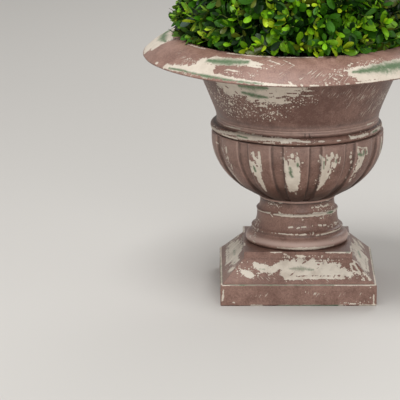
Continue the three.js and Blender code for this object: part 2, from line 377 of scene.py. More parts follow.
def makeChippedCoat():
    # where the top coat has chipped to the cream below, and the cream has rubbed through to green
    group = bpy.data.node_groups.new("chippedCoat", "ShaderNodeTree")
    for name in ("Ragged", "Fleck", "Slant"):
        group.interface.new_socket(name=name, in_out="INPUT", socket_type="NodeSocketFloat")
    given = addNode(group, "NodeGroupInput").outputs
    place = addNode(group, "ShaderNodeTexCoord").outputs["Object"]
    coarse = grainAt(group, place, 110, 4, 0.62)
    fine = grainAt(group, place, 360, 3, 0.6)
    tiny = grainAt(group, place, 900, 2, 0.5)

    def broken(mark, *grains):
        # a drawn mark whose outline the grains break up
        return blend(group, (readMark(group, mark), 1.0), *grains)

    # scratches run over the surface at a slant
    unrolled = addNode(group, "ShaderNodeCombineXYZ", {0: readMark(group, "around"), 1: readMark(group, "along")})
    slant = addNode(group, "ShaderNodeCombineXYZ", {2: given["Slant"]}).outputs[0]
    turned = addNode(group, "ShaderNodeMapping", {"Vector": unrolled.outputs[0], "Rotation": slant}).outputs[0]
    drawn = addNode(group, "ShaderNodeMapping", {"Vector": turned, "Scale": (1.0, 0.07, 1.0)}).outputs[0]
    lines = calc(group, "ADD", grainAt(group, drawn, 780, 2, 0.5), 0.5)
    scratched = ramp(group, blend(group, (lines, 1.0), (readMark(group, "scratches"), 0.215)), 0.78, 0.82)

    worn = broken("creamWear", (coarse, given["Ragged"]), (fine, given["Fleck"]))
    pitted = broken("pits", (fine, 1.1), (coarse, 0.6))
    cream = ramp(group, calc(group, "SUBTRACT", worn, ramp(group, pitted, 0.5, 0.64)), 0.47, 0.54)
    wobble = calc(group, "MULTIPLY", fine, 0.9)
    specks = [dotsAt(group, place, scale, readMark(group, "specks"), wobble) for scale in (300, 520)]
    for chips in (*specks, calc(group, "MULTIPLY", scratched, 0.8)):
        cream = calc(group, "MAXIMUM", cream, chips)

    rubbed = broken("greenWear", (coarse, 0.8), (fine, 0.5))
    clouds = grainAt(group, place, 17, 5, 0.65)
    patches = grainAt(group, place, 75, 3, 0.6)
    made = {
        "Cream": cream,
        "Green": calc(group, "MULTIPLY", ramp(group, rubbed, 0.26, 1.0), cream),
        "Blotches": ramp(group, blend(group, (clouds, 0.65), (patches, 0.35)), -0.14, 0.14),
        "Grain": blend(group, (fine, 1.6), (tiny, 1.9), (coarse, 0.6)),
        # painted shade in creases, under parts and at contact lines, with some dirt, broken up in clouds
        "ShadeAndGrime": ramp(group, broken("shadeAndGrime", (coarse, 0.7)), 0.08, 0.95),
        # heights in millimetres: the coat stands over the cream, and is itself lightly pebbled
        "Height": blend(group, (cream, -0.28), (fine, 0.3), (tiny, 0.14), (coarse, 0.25)),
    }
    for name in made:
        group.interface.new_socket(name=name, in_out="OUTPUT", socket_type="NodeSocketFloat")
    addNode(group, "NodeGroupOutput", made)
    return group


chippedCoat = makeChippedCoat()

coatColors = {
    "deep": rgb(98, 65, 54),
    "dusty": rgb(168, 133, 119),
    # the colour of painted highlights
    "pale": rgb(222, 198, 188),
    # the colour of painted shade and dirt
    "shadeAndGrime": rgb(34, 23, 18),
    "cream": rgb(232, 222, 207),
    "creamShade": rgb(205, 192, 176),
    "green": rgb(60, 98, 56),
}


def makeUrnPaint(name, dusty, ragged=1.0, fleck=0.6, slant=0.5, creamTone=1.0):
    # dusty is how far the coat leans to its dusty tone, and a low value paints a piece darker as painted shade;
    # ragged and fleck how broken the chips are
    paint, tree, shader = newFinish(name)
    inputs = {"Ragged": ragged, "Fleck": fleck, "Slant": slant}
    wear = addNode(tree, "ShaderNodeGroup", inputs, node_tree=chippedCoat).outputs
    # painted highlights lift the coat's tone and lighten it towards the pale colour
    paintedHighlight = readMark(tree, "paintedHighlight")
    tone = blend(tree, (wear["Blotches"], 0.42), (wear["Grain"], 0.5), (paintedHighlight, 0.6))
    tone = calc(tree, "ADD", tone, dusty - 0.22)
    tone = addNode(tree, "ShaderNodeClamp", {"Value": tone}).outputs[0]
    coat = mixColor(tree, tone, coatColors["deep"], coatColors["dusty"])
    coat = mixColor(tree, calc(tree, "MULTIPLY", paintedHighlight, 0.4), coat, coatColors["pale"])
    # the coat and the worn cream are darkened by the mark of painted shade and dirt
    coat = mixColor(tree, calc(tree, "MULTIPLY", wear["ShadeAndGrime"], 0.82), coat, coatColors["shadeAndGrime"])
    # the cream is mixed in clouds between its lit and its shaded colour, painted light and shade that each piece's
    # cream number scales
    lightness = calc(tree, "MULTIPLY", wear["Blotches"], creamTone)
    cream = mixColor(tree, lightness, coatColors["creamShade"], coatColors["cream"])
    rubbed = mixColor(tree, calc(tree, "MULTIPLY", wear["Green"], 0.9), cream, coatColors["green"])
    rubbed = mixColor(tree, calc(tree, "MULTIPLY", wear["ShadeAndGrime"], 0.55), rubbed, coatColors["shadeAndGrime"])
    feed(tree, shader, {
        "Base Color": mixColor(tree, wear["Cream"], coat, rubbed),
        "Roughness": calc(tree, "ADD", blend(tree, (wear["Cream"], 0.16), (wear["Blotches"], 0.12)), 0.38),
        "Normal": relief(tree, wear["Height"], 0.001, 0.9),
    })
    return paint


# Wear is drawn in strokes: (bearing, run, bearing, run, half width, half width), from one end to the other, or
# with one half width for both ends. Bearings are degrees to the right of the front. Runs, heights or radii,
# and widths are millimetres. On the square pieces the bearings are millimetres to the right of a side's middle.
wearMarks = ("creamWear", "greenWear", "scratches", "specks", "pits")
unrollRadius = 0.14  # scratches run round the urn as on a pipe of this radius


def strokeField(across, perDegree, run, strokes, softest=5.0):
    # 0.5 on a stroke's outline, 1 well inside it and 0 well outside
    field = np.zeros(len(run))
    for stroke in strokes:
        first, firstRun, last, lastRun, firstHalf = stroke[:5]
        aside = across - first
        if perDegree is not None:
            aside = (aside + 180) % 360 - 180
        scale = 1.0 if perDegree is None else perDegree
        dx, dy = aside * scale, run - firstRun
        sx, sy = (last - first) * scale, lastRun - firstRun
        share = np.clip((dx * sx + dy * sy) / np.maximum(sx * sx + sy * sy, 1e-6), 0, 1)
        half = np.maximum(firstHalf + (stroke[-1] - firstHalf) * share, 0.85)
        gap = np.hypot(dx - share * sx, dy - share * sy)
        field = np.maximum(field, 0.5 + 0.5 * (half - gap) / np.clip(half, 1.2, softest))
    return np.clip(field, 0, 1)


def markPiece(piece, name, values):
    mark = piece.data.attributes.new(name=name, type="FLOAT", domain="POINT")
    mark.data.foreach_set("value", np.asarray(values, np.float32))


def paintPiece(piece, name, node, settings, across, radius, run, shadeAndGrime, paintedHighlight=0.0):
    # wears an urn piece and gives it its paint; radius in metres for a round piece, None for a square one
    perDegree = None if radius is None else np.radians(1) * radius * 1000
    for mark in wearMarks:
        softest = settings.get("softest", 5.0) if mark in ("creamWear", "pits") else 60.0
        share = settings.get("greenShare", 1.0) if mark == "greenWear" else 1.0
        markPiece(piece, mark, share * strokeField(across, perDegree, run, settings.get(mark, []), softest))
    # painted highlights, given by each piece
    markPiece(piece, "paintedHighlight", paintedHighlight + np.zeros(len(run)))
    # the mark of painted shade and dirt, with the dark strokes added in
    dark = strokeField(across, perDegree, run, settings.get("dark", []))
    markPiece(piece, "shadeAndGrime", np.maximum(shadeAndGrime, dark))
    markPiece(piece, "around", across / 1000 if radius is None else np.radians(across) * unrollRadius)
    markPiece(piece, "along", run / 1000)
    paint = makeUrnPaint(node.removeprefix("urn_") + "Paint", **settings["paint"])
    finishPiece(piece, name, node, paint)


def withBack(settings, shift, mirrored=False):
    # the same wear again, moved round by some degrees, for the side that doesn't show
    sign = -1 if mirrored else 1
    fuller = dict(settings)
    for name in (*wearMarks, "dark"):
        strokes = settings.get(name, [])
        fuller[name] = strokes + [(sign * s[0] + shift, s[1], sign * s[2] + shift, *s[3:]) for s in strokes]
    return fuller


# Plinth: a square block with rounded edges. Dents are their depth, their size and the level that stays in place

plinthSettings = {
    "cuts": 110,
    "edgeRadius": 0.0022,
    "cornerRadius": 0.0016,
    "rows": 0.0008,
    "dents": (0.0007, 0.06, 0.6),
    "paint": {"dusty": 0.56},
    "creamWear": [
        (-112, 32, -60, 32, 1.2, 0.9), (-60, 32, 50, 32, 0.9, 1), (50, 32, 113, 32, 1.2),
        (110.5, 17.5, 111, 3, 0.9, 1.2), (106, 13, 106, 12.5, 0.9), (90, 1.2, 114, 1.2, 1, 1.6),
        (-30, 1.2, 66, 1.2, 0.7), (67, 5, 68.5, 4.6, 0.9), (76, 4, 84, 3.4, 0.8, 0.9), (10, 22, 10, 21, 0.8),
        (106, 29, 107, 28, 0.8), (-111, 24, -112, 8, 1, 1.4), (-96, 6, -94, 5, 1), (-70, 1.2, -52, 1.2, 1),
    ],
    "greenWear": [(-100, 30.6, 52, 30.6, 1.3, 1.2), (30, 1, 58, 1, 1.4), (-30, 1, 30, 1, 0.9, 1)],
    "scratches": [(54, 13, 68, 20, 3), (0, 20, 40, 18, 3), (-70, 14, -40, 18, 3), (90, 20, 100, 12, 3)],
    "specks": [(60, 4, 100, 4, 2, 3)],
}


def sidesOf(places):
    # millimetres to the right along the side that a point faces, mirrored on all sides but the front
    x, y = places[:, 0] * 1000, places[:, 1] * 1000
    facing = np.round(np.degrees(np.arctan2(x, -y)) / 90) % 4
    along = np.select([facing == 0, facing == 1, facing == 2], [x, y, -x], -y)
    return np.where(facing == 0, along, -along)


def buildPlinth():
    s, (low, high) = plinthSettings, nodeBoxes["urn_plinth"]
    edge = s["edgeRadius"]
    inset = high.x - edge
    path = []
    arcTo(path, (inset, low.z + edge), edge, -90, 0)
    lineTo(path, (high.x, high.z - edge), s["rows"])
    arcTo(path, (inset, high.z - edge), edge, 0, 90)
    piece = raiseSquare(path, s["cuts"])
    roundSharpEdges(piece, s["cornerRadius"])
    pushPoints(piece, "sides", smoothStep(0.001, 0.006, pointsOf(piece)[:, 2]), *s["dents"])
    places = pointsOf(piece)
    height = places[:, 2] * 1000
    # painted shade and dirt: darker along the block's foot where it meets the ground
    shadeAndGrime = 0.5 * (height < 0.5) + 0.45 * swell(height, 0, 1.6)
    paintPiece(piece, "plinthBlock", "urn_plinth", s, sidesOf(places), None, height, shadeAndGrime)


buildPlinth()


# Slope: a square sheet drawn up in a hollow curve to a smaller square with an upright band

slopeSettings = {
    "cuts": 88,
    "topHalf": 0.080,
    "bandHeight": 0.009,
    "hollow": 0.005,
    "hipRadius": 0.0011,
    "foot": 0.0006,  # height of the upright edge that it starts with
    "spacing": 0.0016,
    "dents": (0.0008, 0.05, 0.6),
    # the cream is set lighter here: painted light on the upward-facing slope
    "paint": {"dusty": 0.52, "ragged": 1.3, "fleck": 0.9, "slant": -0.9, "creamTone": 1.3},
    "creamWear": [
        (-37, 51, -20, 57, 5, 4.5), (-20, 55, 2, 57, 6), (2, 56, 32, 56, 6), (32, 53, 61, 51, 5.5),
        (-20, 47, 64, 47, 8, 6), (61, 48, 76, 44, 4.7, 4.2), (-20, 39.5, -2, 40.5, 3.1, 2.5),
        (1, 40.4, 67, 40.4, 1.7), (-21, 70, -17.5, 69, 1.1, 1.4), (-15, 67.5, -13.5, 66, 1),
        (-2.5, 68, 4, 67, 1.2, 1.4), (4, 67, 14.5, 66, 1.7, 0.9), (35, 67.5, 35, 65, 1.2, 1),
        (39.5, 61, 40.5, 58, 1.1, 1.7), (44, 63, 44.5, 62, 1), (49.5, 62, 50, 61, 1), (76.5, 57, 82.5, 57, 1.4),
        (82.5, 57, 91.5, 45, 1.5, 1.2), (77, 56, 80, 49, 1.4, 1.3), (80, 49, 91, 44.5, 1.2),
        (85.5, 40.4, 86.5, 40, 1), (94.5, 40, 96.5, 39.2, 1.2, 1.1), (102.5, 38.8, 105, 37.6, 1),
        (-62, 54, -44, 50, 4, 6), (-84, 48, -70, 44, 3, 4), (41, 72.8, 76, 72.8, 1.2, 1.6), (-40, 73, -24, 73, 0.85),
        (80, 62, 84, 58, 0.9), (96, 46, 104, 40, 0.9),
    ],
    "greenWear": [
        (-13, 51, -2, 51, 1.4, 3.4), (-2, 51, 10, 50.6, 3.4), (10, 50.6, 23, 50, 3.4, 1.2), (82.5, 54, 88, 48.5, 1.5),
        (71, 72.5, 75, 72.5, 1.3), (-58, 51, -50, 50, 1.6),
    ],
    "greenShare": 0.7,
    "pits": [
        (5.5, 57, 16, 62.3, 0.9), (14, 64, 16.5, 63, 1), (-4.5, 42, 12, 42.6, 0.8), (18, 42.6, 28, 42.4, 0.9),
        (32, 42.5, 47, 42.3, 0.8), (53, 41.5, 54, 43, 1.1), (58.5, 43, 61, 42.6, 1.2), (26, 59.7, 37, 60.1, 1.2),
        (37, 63, 37, 57, 0.8), (28.5, 56.4, 31.5, 56, 1), (-12.5, 42.6, -5.5, 47, 0.8), (62, 52, 66, 54, 1.4),
    ],
    "specks": [(-20, 61, 60, 60, 5, 4), (60, 50, 100, 42, 4), (-90, 50, -60, 50, 6)],
    "scratches": [(-60, 40, 80, 38, 4)],
}


def buildSlope():
    s, (low, high) = slopeSettings, nodeBoxes["urn_slope"]
    bandFoot = high.z - s["bandHeight"]
    path = [(high.x, low.z)]
    lineTo(path, (high.x, low.z + s["foot"]), s["foot"])
    bendTo(path, (s["topHalf"] + s["hollow"], bandFoot - s["hollow"]), (s["topHalf"], bandFoot), s["spacing"])
    lineTo(path, (s["topHalf"], high.z), s["spacing"])
    piece = raiseSquare(path, s["cuts"])
    roundSharpEdges(piece, s["hipRadius"])
    height = pointsOf(piece)[:, 2]
    faces = smoothStep(low.z, low.z + 0.003, height) * (1 - smoothStep(high.z - 0.003, high.z, height))
    pushPoints(piece, "faces", faces, *s["dents"])
    places = pointsOf(piece)
    height = places[:, 2] * 1000
    flatTop = (height > high.z * 1000 - 0.4) & (np.abs(places[:, :2]).max(axis=1) < s["topHalf"] - 0.002)
    height = np.where(flatTop, 80.0, height)  # the flat top lies out of the strokes' reach
    # painted shade and dirt: darker in the crease at the band's foot, along the foot, and on the flat top under the
    # stem
    shadeAndGrime = 0.35 * swell(height, bandFoot * 1000 - 1, 1.6) + 0.4 * swell(height, low.z * 1000, 0.7) + 0.3 * flatTop
    paintPiece(piece, "squareSlope", "urn_slope", s, sidesOf(places), None, height, shadeAndGrime)


buildSlope()


# Stem: turned, with a fat ring at its foot, two ridges, a waist and a thin collar under the bowl

stemSettings = {
    "turns": 300,
    "ringRadius": 0.0765,
    "ringTop": 0.0895,
    "ringInset": 0.006,
    "ringBelly": 0.0065,  # height of the ring's widest place over its foot
    "lowRidge": (0.068, 0.0958),
    "highRidge": (0.0607, 0.122),
    "ridgeEdge": 0.0012,
    "ridgeStep": 0.001,
    "ridgeSlant": 0.0025,
    "waistRadius": 0.055,
    "collar": (0.0575, 0.0016),  # reach and half height
    "dents": (0.0005, 0.04, 0.55),
    "paint": {"dusty": 0.52, "ragged": 0.8, "fleck": 0.8},
    "creamWear": [
        (-82, 121, -44, 123.5, 0.9, 1.1), (-42, 122, -39, 119, 0.9), (-36, 122.6, -24, 123, 1.2, 1.7),
        (-24, 122.8, 23, 123, 1.9, 2), (23, 123.5, 71, 122, 2.4), (-30, 126.6, -26, 124, 0.9, 1.1),
        (71, 122.5, 95, 121.5, 1.5, 1.1), (-46, 136.6, -43, 136.6, 1.2, 0.9), (-35, 136.6, -33, 134, 0.9),
        (-31, 140.4, -24, 141.2, 0.9), (21, 133.2, 24, 134, 1.1), (28.5, 134, 33.5, 132.4, 1.2, 0.9),
        (37, 135.7, 43, 132.4, 1.1, 1.2), (45.5, 133.2, 52.5, 133.2, 1.1), (54, 134.8, 55, 133.2, 0.9),
        (48, 141, 58, 140.4, 0.9), (6, 117.7, 8, 117.7, 0.9), (33.5, 117, 36, 117, 0.9),
        (-73, 107.3, -70, 107.3, 0.9), (-66.5, 106.4, -66, 105.6, 0.9), (-13, 105.6, -7.5, 106.4, 0.9, 1.2),
        (-1.5, 104.8, 1.5, 105.6, 1.2), (5, 106.4, 11, 106.4, 1.2, 1.3), (20.8, 108, 20.5, 106.4, 0.9),
        (30, 107.3, 35, 106.4, 0.9, 1.3), (39, 105.6, 43, 105.6, 1.3, 1.2), (46, 103.4, 48.5, 102.7, 0.9),
        (55, 104, 56, 104, 0.9), (63, 104.8, 71, 103.4, 1.2, 1.3), (-35, 96.2, -34, 96.2, 0.9),
        (-30, 96.6, -29, 96.6, 0.9), (-25, 97, -22.5, 96.6, 0.9), (-22.5, 96.6, -6, 96.2, 1.1),
        (-3, 96.2, -1, 97, 1.2, 1.1), (2, 95.8, 10, 96.6, 1.2), (16, 98.5, 16, 97, 0.9), (20, 98.3, 19, 95.8, 1.2),
        (24, 93.6, 27, 94.2, 1.2, 1.4), (31, 94, 43, 95, 1.2), (43, 95, 72, 95.2, 1.3), (50, 97, 51.5, 95, 0.9),
        (74, 96, 95, 95.5, 1, 0.9), (-69.5, 96.2, -68, 95.3, 1.1, 0.9), (-60, 96.6, -59, 96.6, 0.9),
        (-52, 95, -51, 95, 1.1, 0.9), (-24, 77.4, 1, 76.8, 0.9, 2), (1, 76.8, 22, 76.6, 2.3),
        (22, 76.6, 44, 77.4, 2, 0.9), (41, 84.8, 43, 84.4, 0.9), (-70, 84, -68, 84, 1.2), (-60, 80, -56, 79, 1.2),
    ],
    "greenWear": [(46, 122.8, 60, 122.4, 1.6), (-60, 83, -54, 82, 1.6)],
    "specks": [
        (24, 126, 68, 127, 3, 4), (-84, 104, -66, 96, 5), (50, 102, 80, 100, 3, 4), (-70, 84, -60, 82, 4),
        (-50, 136, -30, 136, 4, 3), (34, 134, 58, 135, 4), (30, 120, 70, 119, 2.5, 3),
    ],
}


def buildStem():
    s, (low, high) = stemSettings, nodeBoxes["urn_stem"]
    edge = s["ringRadius"] - s["ringInset"]
    step = s["ridgeStep"]
    belly = low.z + s["ringBelly"]
    path = [(0, low.z)]
    lineTo(path, (edge, low.z), 0.012)
    arcTo(path, (edge, belly), s["ringInset"], -84, 0, 0.001, s["ringBelly"] / s["ringInset"])
    wide = s["ringInset"] + 0.0035
    arcTo(path, (s["ringRadius"] - wide, belly), wide, 0, 68, 0.0011, (s["ringTop"] - belly) / wide)
    shoulder = s["lowRidge"][0] - step
    bendTo(path, (shoulder, s["ringTop"] + 0.001), (shoulder, s["lowRidge"][1] - step), 0.001)
    ridges = [
        (s["lowRidge"], s["highRidge"][0] - step, s["highRidge"][1] - step),
        (s["highRidge"], s["waistRadius"], high.z - 0.004),
    ]
    for (radius, height), nextRadius, nextHeight in ridges:
        top = height + s["ridgeSlant"]
        arcTo(path, (radius - s["ridgeEdge"], height + 0.0008), s["ridgeEdge"], -90, 70, 0.0006)
        lineTo(path, (radius - 2 * step, top), 0.0008)
        bendTo(path, (nextRadius, top + s["ridgeSlant"]), (nextRadius, nextHeight), 0.0014)
    reach, half = s["collar"]
    arcTo(path, (reach - half, high.z - half), half, -75, 88, 0.0006)
    lineTo(path, (0, high.z), 0.012)
    piece = spinProfile(path, s["turns"])
    height = measure(piece)[2]
    side = smoothStep(low.z + 0.001, low.z + 0.004, height) * (1 - smoothStep(high.z - 0.004, high.z, height))
    pushPoints(piece, "side", side, *s["dents"])
    bearing, radius, height = measure(piece)
    height = height * 1000
    top = high.z * 1000
    # painted shade and dirt: darker under the bowl, under the ridges and at the foot
    shadeAndGrime = 0.5 * smoothStep(top - 18, top - 4, height) * (height < top - 3.4) + 0.4 * swell(height, top - 4, 1)
    shadeAndGrime += 0.5 * swell(height, s["lowRidge"][1] * 1000 - 3, 1.8) + 0.9 * swell(height, low.z * 1000, 0.9)
    shadeAndGrime += 0.55 * swell(height, s["highRidge"][1] * 1000 - 1.8, 1.2)
    # painted highlights on the ring's belly and on the collar
    paintedHighlight = 1.25 * swell(height, belly * 1000 + 2.5, 4.5) + 0.5 * (height > top - 3.2)
    paintPiece(piece, "turnedStem", "urn_stem", withBack(s, 180), bearing, radius, height, shadeAndGrime, paintedHighlight)


buildStem()


# Bowl: one lobe modelled, then copied round and welded

bowlSettings = {
    "lobes": 14,
    "firstLobe": -2,  # degrees from the front
    "lobeSteps": 42,
    "radius": 0.1275,
    "depth": 0.1018,
    "middle": 0.236,
    "wall": 0.008,
    "floor": 0.152,
    "footInset": 0.002,
    "rimEdge": 0.001,
    "panelTop": 0.2412,
    "panelShare": 0.67,  # of the spacing, the rest is the sunk strip
    "sink": 0.0034,
    "crown": 0.0014,
    "dents": (0.0007, 0.025, 0.6),
    "paint": {"dusty": 0.36, "ragged": 0.7, "fleck": 0.6},
    "creamWear": [
        (-66, 225, -65, 218, 1), (-56, 230, -56, 223, 1.5, 1.3), (-62, 216, -63.8, 201, 1.3, 1.2),
        (-63.8, 201, -58.5, 191.6, 1.5, 1), (-55.8, 215, -56, 211, 1.5, 1.1), (-58, 187, -57.5, 171, 1, 0.9),
        (-71.5, 230.8, -70.5, 229, 1), (-54, 205, -55, 196, 1), (-79, 222, -78.5, 196, 1.2, 1),
        (-31.5, 231, -31.5, 224, 1.9, 1.8), (-27.3, 232, -27.3, 224, 1.7, 2.3), (-35, 216, -34.8, 202, 3, 4),
        (-27.5, 219, -28.2, 204, 3.4, 4), (-31.3, 211, -30.8, 193, 7, 6.2), (-30.8, 193, -30, 180, 5.6, 3.8),
        (-30, 180, -30.3, 166, 3.6, 1.6), (-30, 221, -28, 219, 2.6, 2.8), (-4.8, 231, -4.8, 229, 2.5, 2.7),
        (-10.5, 225.6, -10.5, 224.5, 2.1), (-10, 232, -10, 231.4, 1), (-1.8, 235, -1.5, 232.5, 1),
        (-7.2, 224, -6, 223.3, 1.5, 1.9), (-1.5, 226, -1.2, 218, 2.8, 3.5), (-9.2, 220, -9, 207, 2.8, 4.4),
        (-5, 219, -4.5, 208, 5.5, 9), (1.8, 219.3, 2.5, 219.3, 1.3, 0.9), (-4.5, 208, -4.8, 189, 10.6),
        (-4.8, 189, -5, 176, 10, 7), (-7.2, 176, -7.5, 168, 1.9, 1), (-4.8, 176, -4.8, 170, 2.7, 1.5),
        (-1.5, 177, -1.5, 172, 2.3, 1), (-2.8, 166, -2.5, 163, 1, 0.9), (14, 228.5, 15, 225, 1.7, 2.6),
        (18, 229.7, 18.2, 227, 1.3, 1.7), (21.5, 231.4, 22, 226, 2.1, 2.5), (25.2, 229, 25.5, 225, 1.9, 2.2),
        (28, 224, 27.5, 215, 1), (15.8, 224, 17, 206, 3, 4.4), (19.8, 224, 20, 212, 4.6, 5.4),
        (24.2, 223, 24.2, 211, 2.8, 3), (19.5, 212, 18.2, 194, 7.8, 6.2), (18.2, 194, 17.2, 181, 5.5, 3.6),
        (17.2, 181, 16, 171, 2.8, 1.4), (13, 221, 13, 220, 1), (42, 236, 46, 232.6, 0.9, 1), (46, 232.6, 50, 232, 1),
        (42.2, 231, 44, 221.6, 2.1, 3.2), (46.8, 228, 47.8, 220, 3.4, 4.8), (50.5, 230.8, 51.5, 222, 1.7, 2.2),
        (46.4, 218.7, 46, 205, 6.8, 4.8), (46, 205, 44.4, 196, 4.4, 1.8), (38, 228, 38.2, 227, 1.5),
        (38, 222, 38.2, 221, 2.1), (39.2, 214, 39.2, 212, 1.7, 1.9), (43.2, 197, 42.8, 188.7, 1, 0.9),
        (43.5, 184, 44, 179.5, 0.9), (73, 236, 74, 214, 2.6, 3), (75.5, 209, 76, 192, 1.6, 0.9),
        (76, 190, 75, 184, 0.9),
    ],
    "greenWear": [
        (-32.2, 206, -32, 201, 2), (-32.5, 209, -32.5, 208, 1.4), (-6.2, 211, -5.8, 204, 2.6, 2.8),
        (-1.2, 218, -1.2, 214, 1.8, 2), (-6.6, 204, -5, 196, 1.6, 2.2), (16, 228, 16.2, 226, 1.5),
        (16.5, 220, 16.8, 208, 1.2, 1.1), (18.5, 223, 18.8, 221.6, 1.2), (25, 221.6, 25, 217, 1.4, 1.3),
        (44, 224, 46, 222, 3.2, 2.8), (48.2, 227, 48, 221.6, 3.1, 2.9), (42.2, 224.5, 43, 224, 2),
        (50.5, 226, 50.5, 223, 1.8), (41.2, 218, 41.2, 216, 1.4), (74, 228, 74.5, 218, 1.8),
    ],
    "pits": [
        (-34, 218, -33.5, 217, 1.7), (-30.8, 215.8, -30.5, 214.7, 1.7), (-29.8, 211, -29.5, 210, 1.6, 1.5),
        (-33.2, 191.6, -32.8, 190, 1.6, 1.3), (-36.8, 186, -36.5, 183.5, 1.5), (-35, 208, -34.8, 207, 1.1),
        (-27, 210.6, -27, 209.5, 1.1), (17.6, 224, 17.6, 214, 1, 0.9), (21.4, 221, 21.2, 209, 1.1, 1),
        (22.8, 209.5, 22.8, 201, 1, 0.9), (23.2, 225, 23.5, 218, 1, 0.9), (20.5, 206.6, 20.2, 201.4, 0.9),
        (44.6, 216, 45, 212, 0.9), (-7.5, 221, -7.4, 215, 0.9), (-3, 223, -3, 221, 1.2),
    ],
    "specks": [
        (-58, 224, -58, 190, 6, 5), (-31, 222, -31, 205, 7, 6), (-5, 226, -5, 180, 10, 9), (20, 216, 17, 180, 8, 6),
        (45, 208, 44, 184, 7, 5),
    ],
}


def shellOf(radius, height):
    # 1 on the bowl's outer face, less inside it
    s = bowlSettings
    return np.hypot(radius / s["radius"], np.minimum(height - s["middle"], 0) / s["depth"])


def bowlAngle(height, depth):
    return math.degrees(math.asin((height - bowlSettings["middle"]) / depth))


def turnAll(angle):
    selectAll()
    bpy.ops.transform.rotate(value=-angle, orient_axis="Z", center_override=(0, 0, 0))


def buildBowl():
    s, (low, high) = bowlSettings, nodeBoxes["urn_bowl"]
    spacing = 360 / s["lobes"]
    start = bowlAngle(low.z, s["depth"])
    path = [(0, low.z)]
    lineTo(path, (s["radius"] * math.cos(math.radians(start)) - s["footInset"], low.z), 0.01)
    arcTo(path, (0, s["middle"]), s["radius"], start, 0, 0.0018, s["depth"] / s["radius"])
    lineTo(path, (s["radius"], high.z - s["rimEdge"]), 0.0007)
    lineTo(path, (s["radius"] - s["rimEdge"], high.z), s["rimEdge"])
    inner = s["radius"] - s["wall"]
    lineTo(path, (inner, high.z), 0.004)
    lineTo(path, (inner, s["middle"]), 0.004)
    innerDepth = s["depth"] - s["wall"]
    arcTo(path, (0, s["middle"]), inner, 0, bowlAngle(s["floor"], innerDepth), 0.006, innerDepth / inner)
    lineTo(path, (0, s["floor"]), 0.01)
    piece = spinProfile(path, s["lobeSteps"], math.radians(spacing))

    # the panel crowns a little, and the strip beside it is sunk
    radius, height = measure(piece)[1:]
    places = pointsOf(piece)
    turn = np.degrees(np.arctan2(places[:, 1], places[:, 0])) / spacing
    place = np.abs(turn - np.floor(turn) - 0.5) * 2
    reach = (radius / s["radius"]) ** 0.8
    outside = (shellOf(radius, height) > 0.985) & (height > low.z + 0.0005)
    below = 1 - smoothStep(s["panelTop"] - 0.0009, s["panelTop"] + 0.0006, height)
    strip = smoothStep(s["panelShare"] - 0.07, s["panelShare"] + 0.09, place)
    pushPoints(piece, "strip", np.where(outside, strip * below * reach, 0), -s["sink"])
    crown = (1 - strip) * np.clip(1 - 0.75 * (place / s["panelShare"]) ** 2, 0, 1)
    pushPoints(piece, "crown", np.where(outside, crown * below * reach, 0), s["crown"])

    parts = [piece]
    for copy in range(1, s["lobes"]):
        pickUp(piece)
        bpy.ops.object.duplicate()
        parts.append(bpy.context.object)
        bpy.ops.object.mode_set(mode="EDIT")
        turnAll(math.radians(copy * spacing))
        stopEditing()
    pickUp(piece)
    for part in parts:
        part.select_set(True)
    bpy.ops.object.join()
    startEditing(piece)
    # a crown stands half a lobe round from +X, and the first lobe belongs at the front
    turnAll(math.radians(s["firstLobe"] - 90 - spacing / 2))
    weld(0.00006)
    stopEditing()

    bearing, radius, height = measure(piece)
    free = (shellOf(radius, height) > 0.95) & (height > low.z + 0.002) & (height < high.z - 0.003)
    pushPoints(piece, "outside", np.where(free, 1.0, 0.0), *s["dents"])
    turn = (bearing - s["firstLobe"]) / spacing
    place = np.abs(turn - np.round(turn)) * 2
    height = height * 1000
    panelTop = s["panelTop"] * 1000
    # painted shade and dirt: darker in the sunk strips beside each panel and towards the bottom of the bowl
    shadeAndGrime = 0.42 * swell(place, s["panelShare"] + 0.04, 0.07) + 0.2 * (place > s["panelShare"])
    shadeAndGrime += 0.85 * (1 - smoothStep(148, 190, height))
    # painted highlights on the top band, under the belt and along the panels' edges
    paintedHighlight = 0.3 * smoothStep(205, 238, height) + 0.3 * smoothStep(panelTop - 0.6, panelTop, height)
    paintedHighlight += 0.45 * swell(place, s["panelShare"] - 0.06, 0.035) * smoothStep(170, 205, height)
    # half the lobes are worn like the other half
    paintPiece(piece, "lobedBowl", "urn_bowl", withBack(s, 180), bearing, radius, height, shadeAndGrime, paintedHighlight)


buildBowl()


# Belt: a fat bead, and a thin double one over it

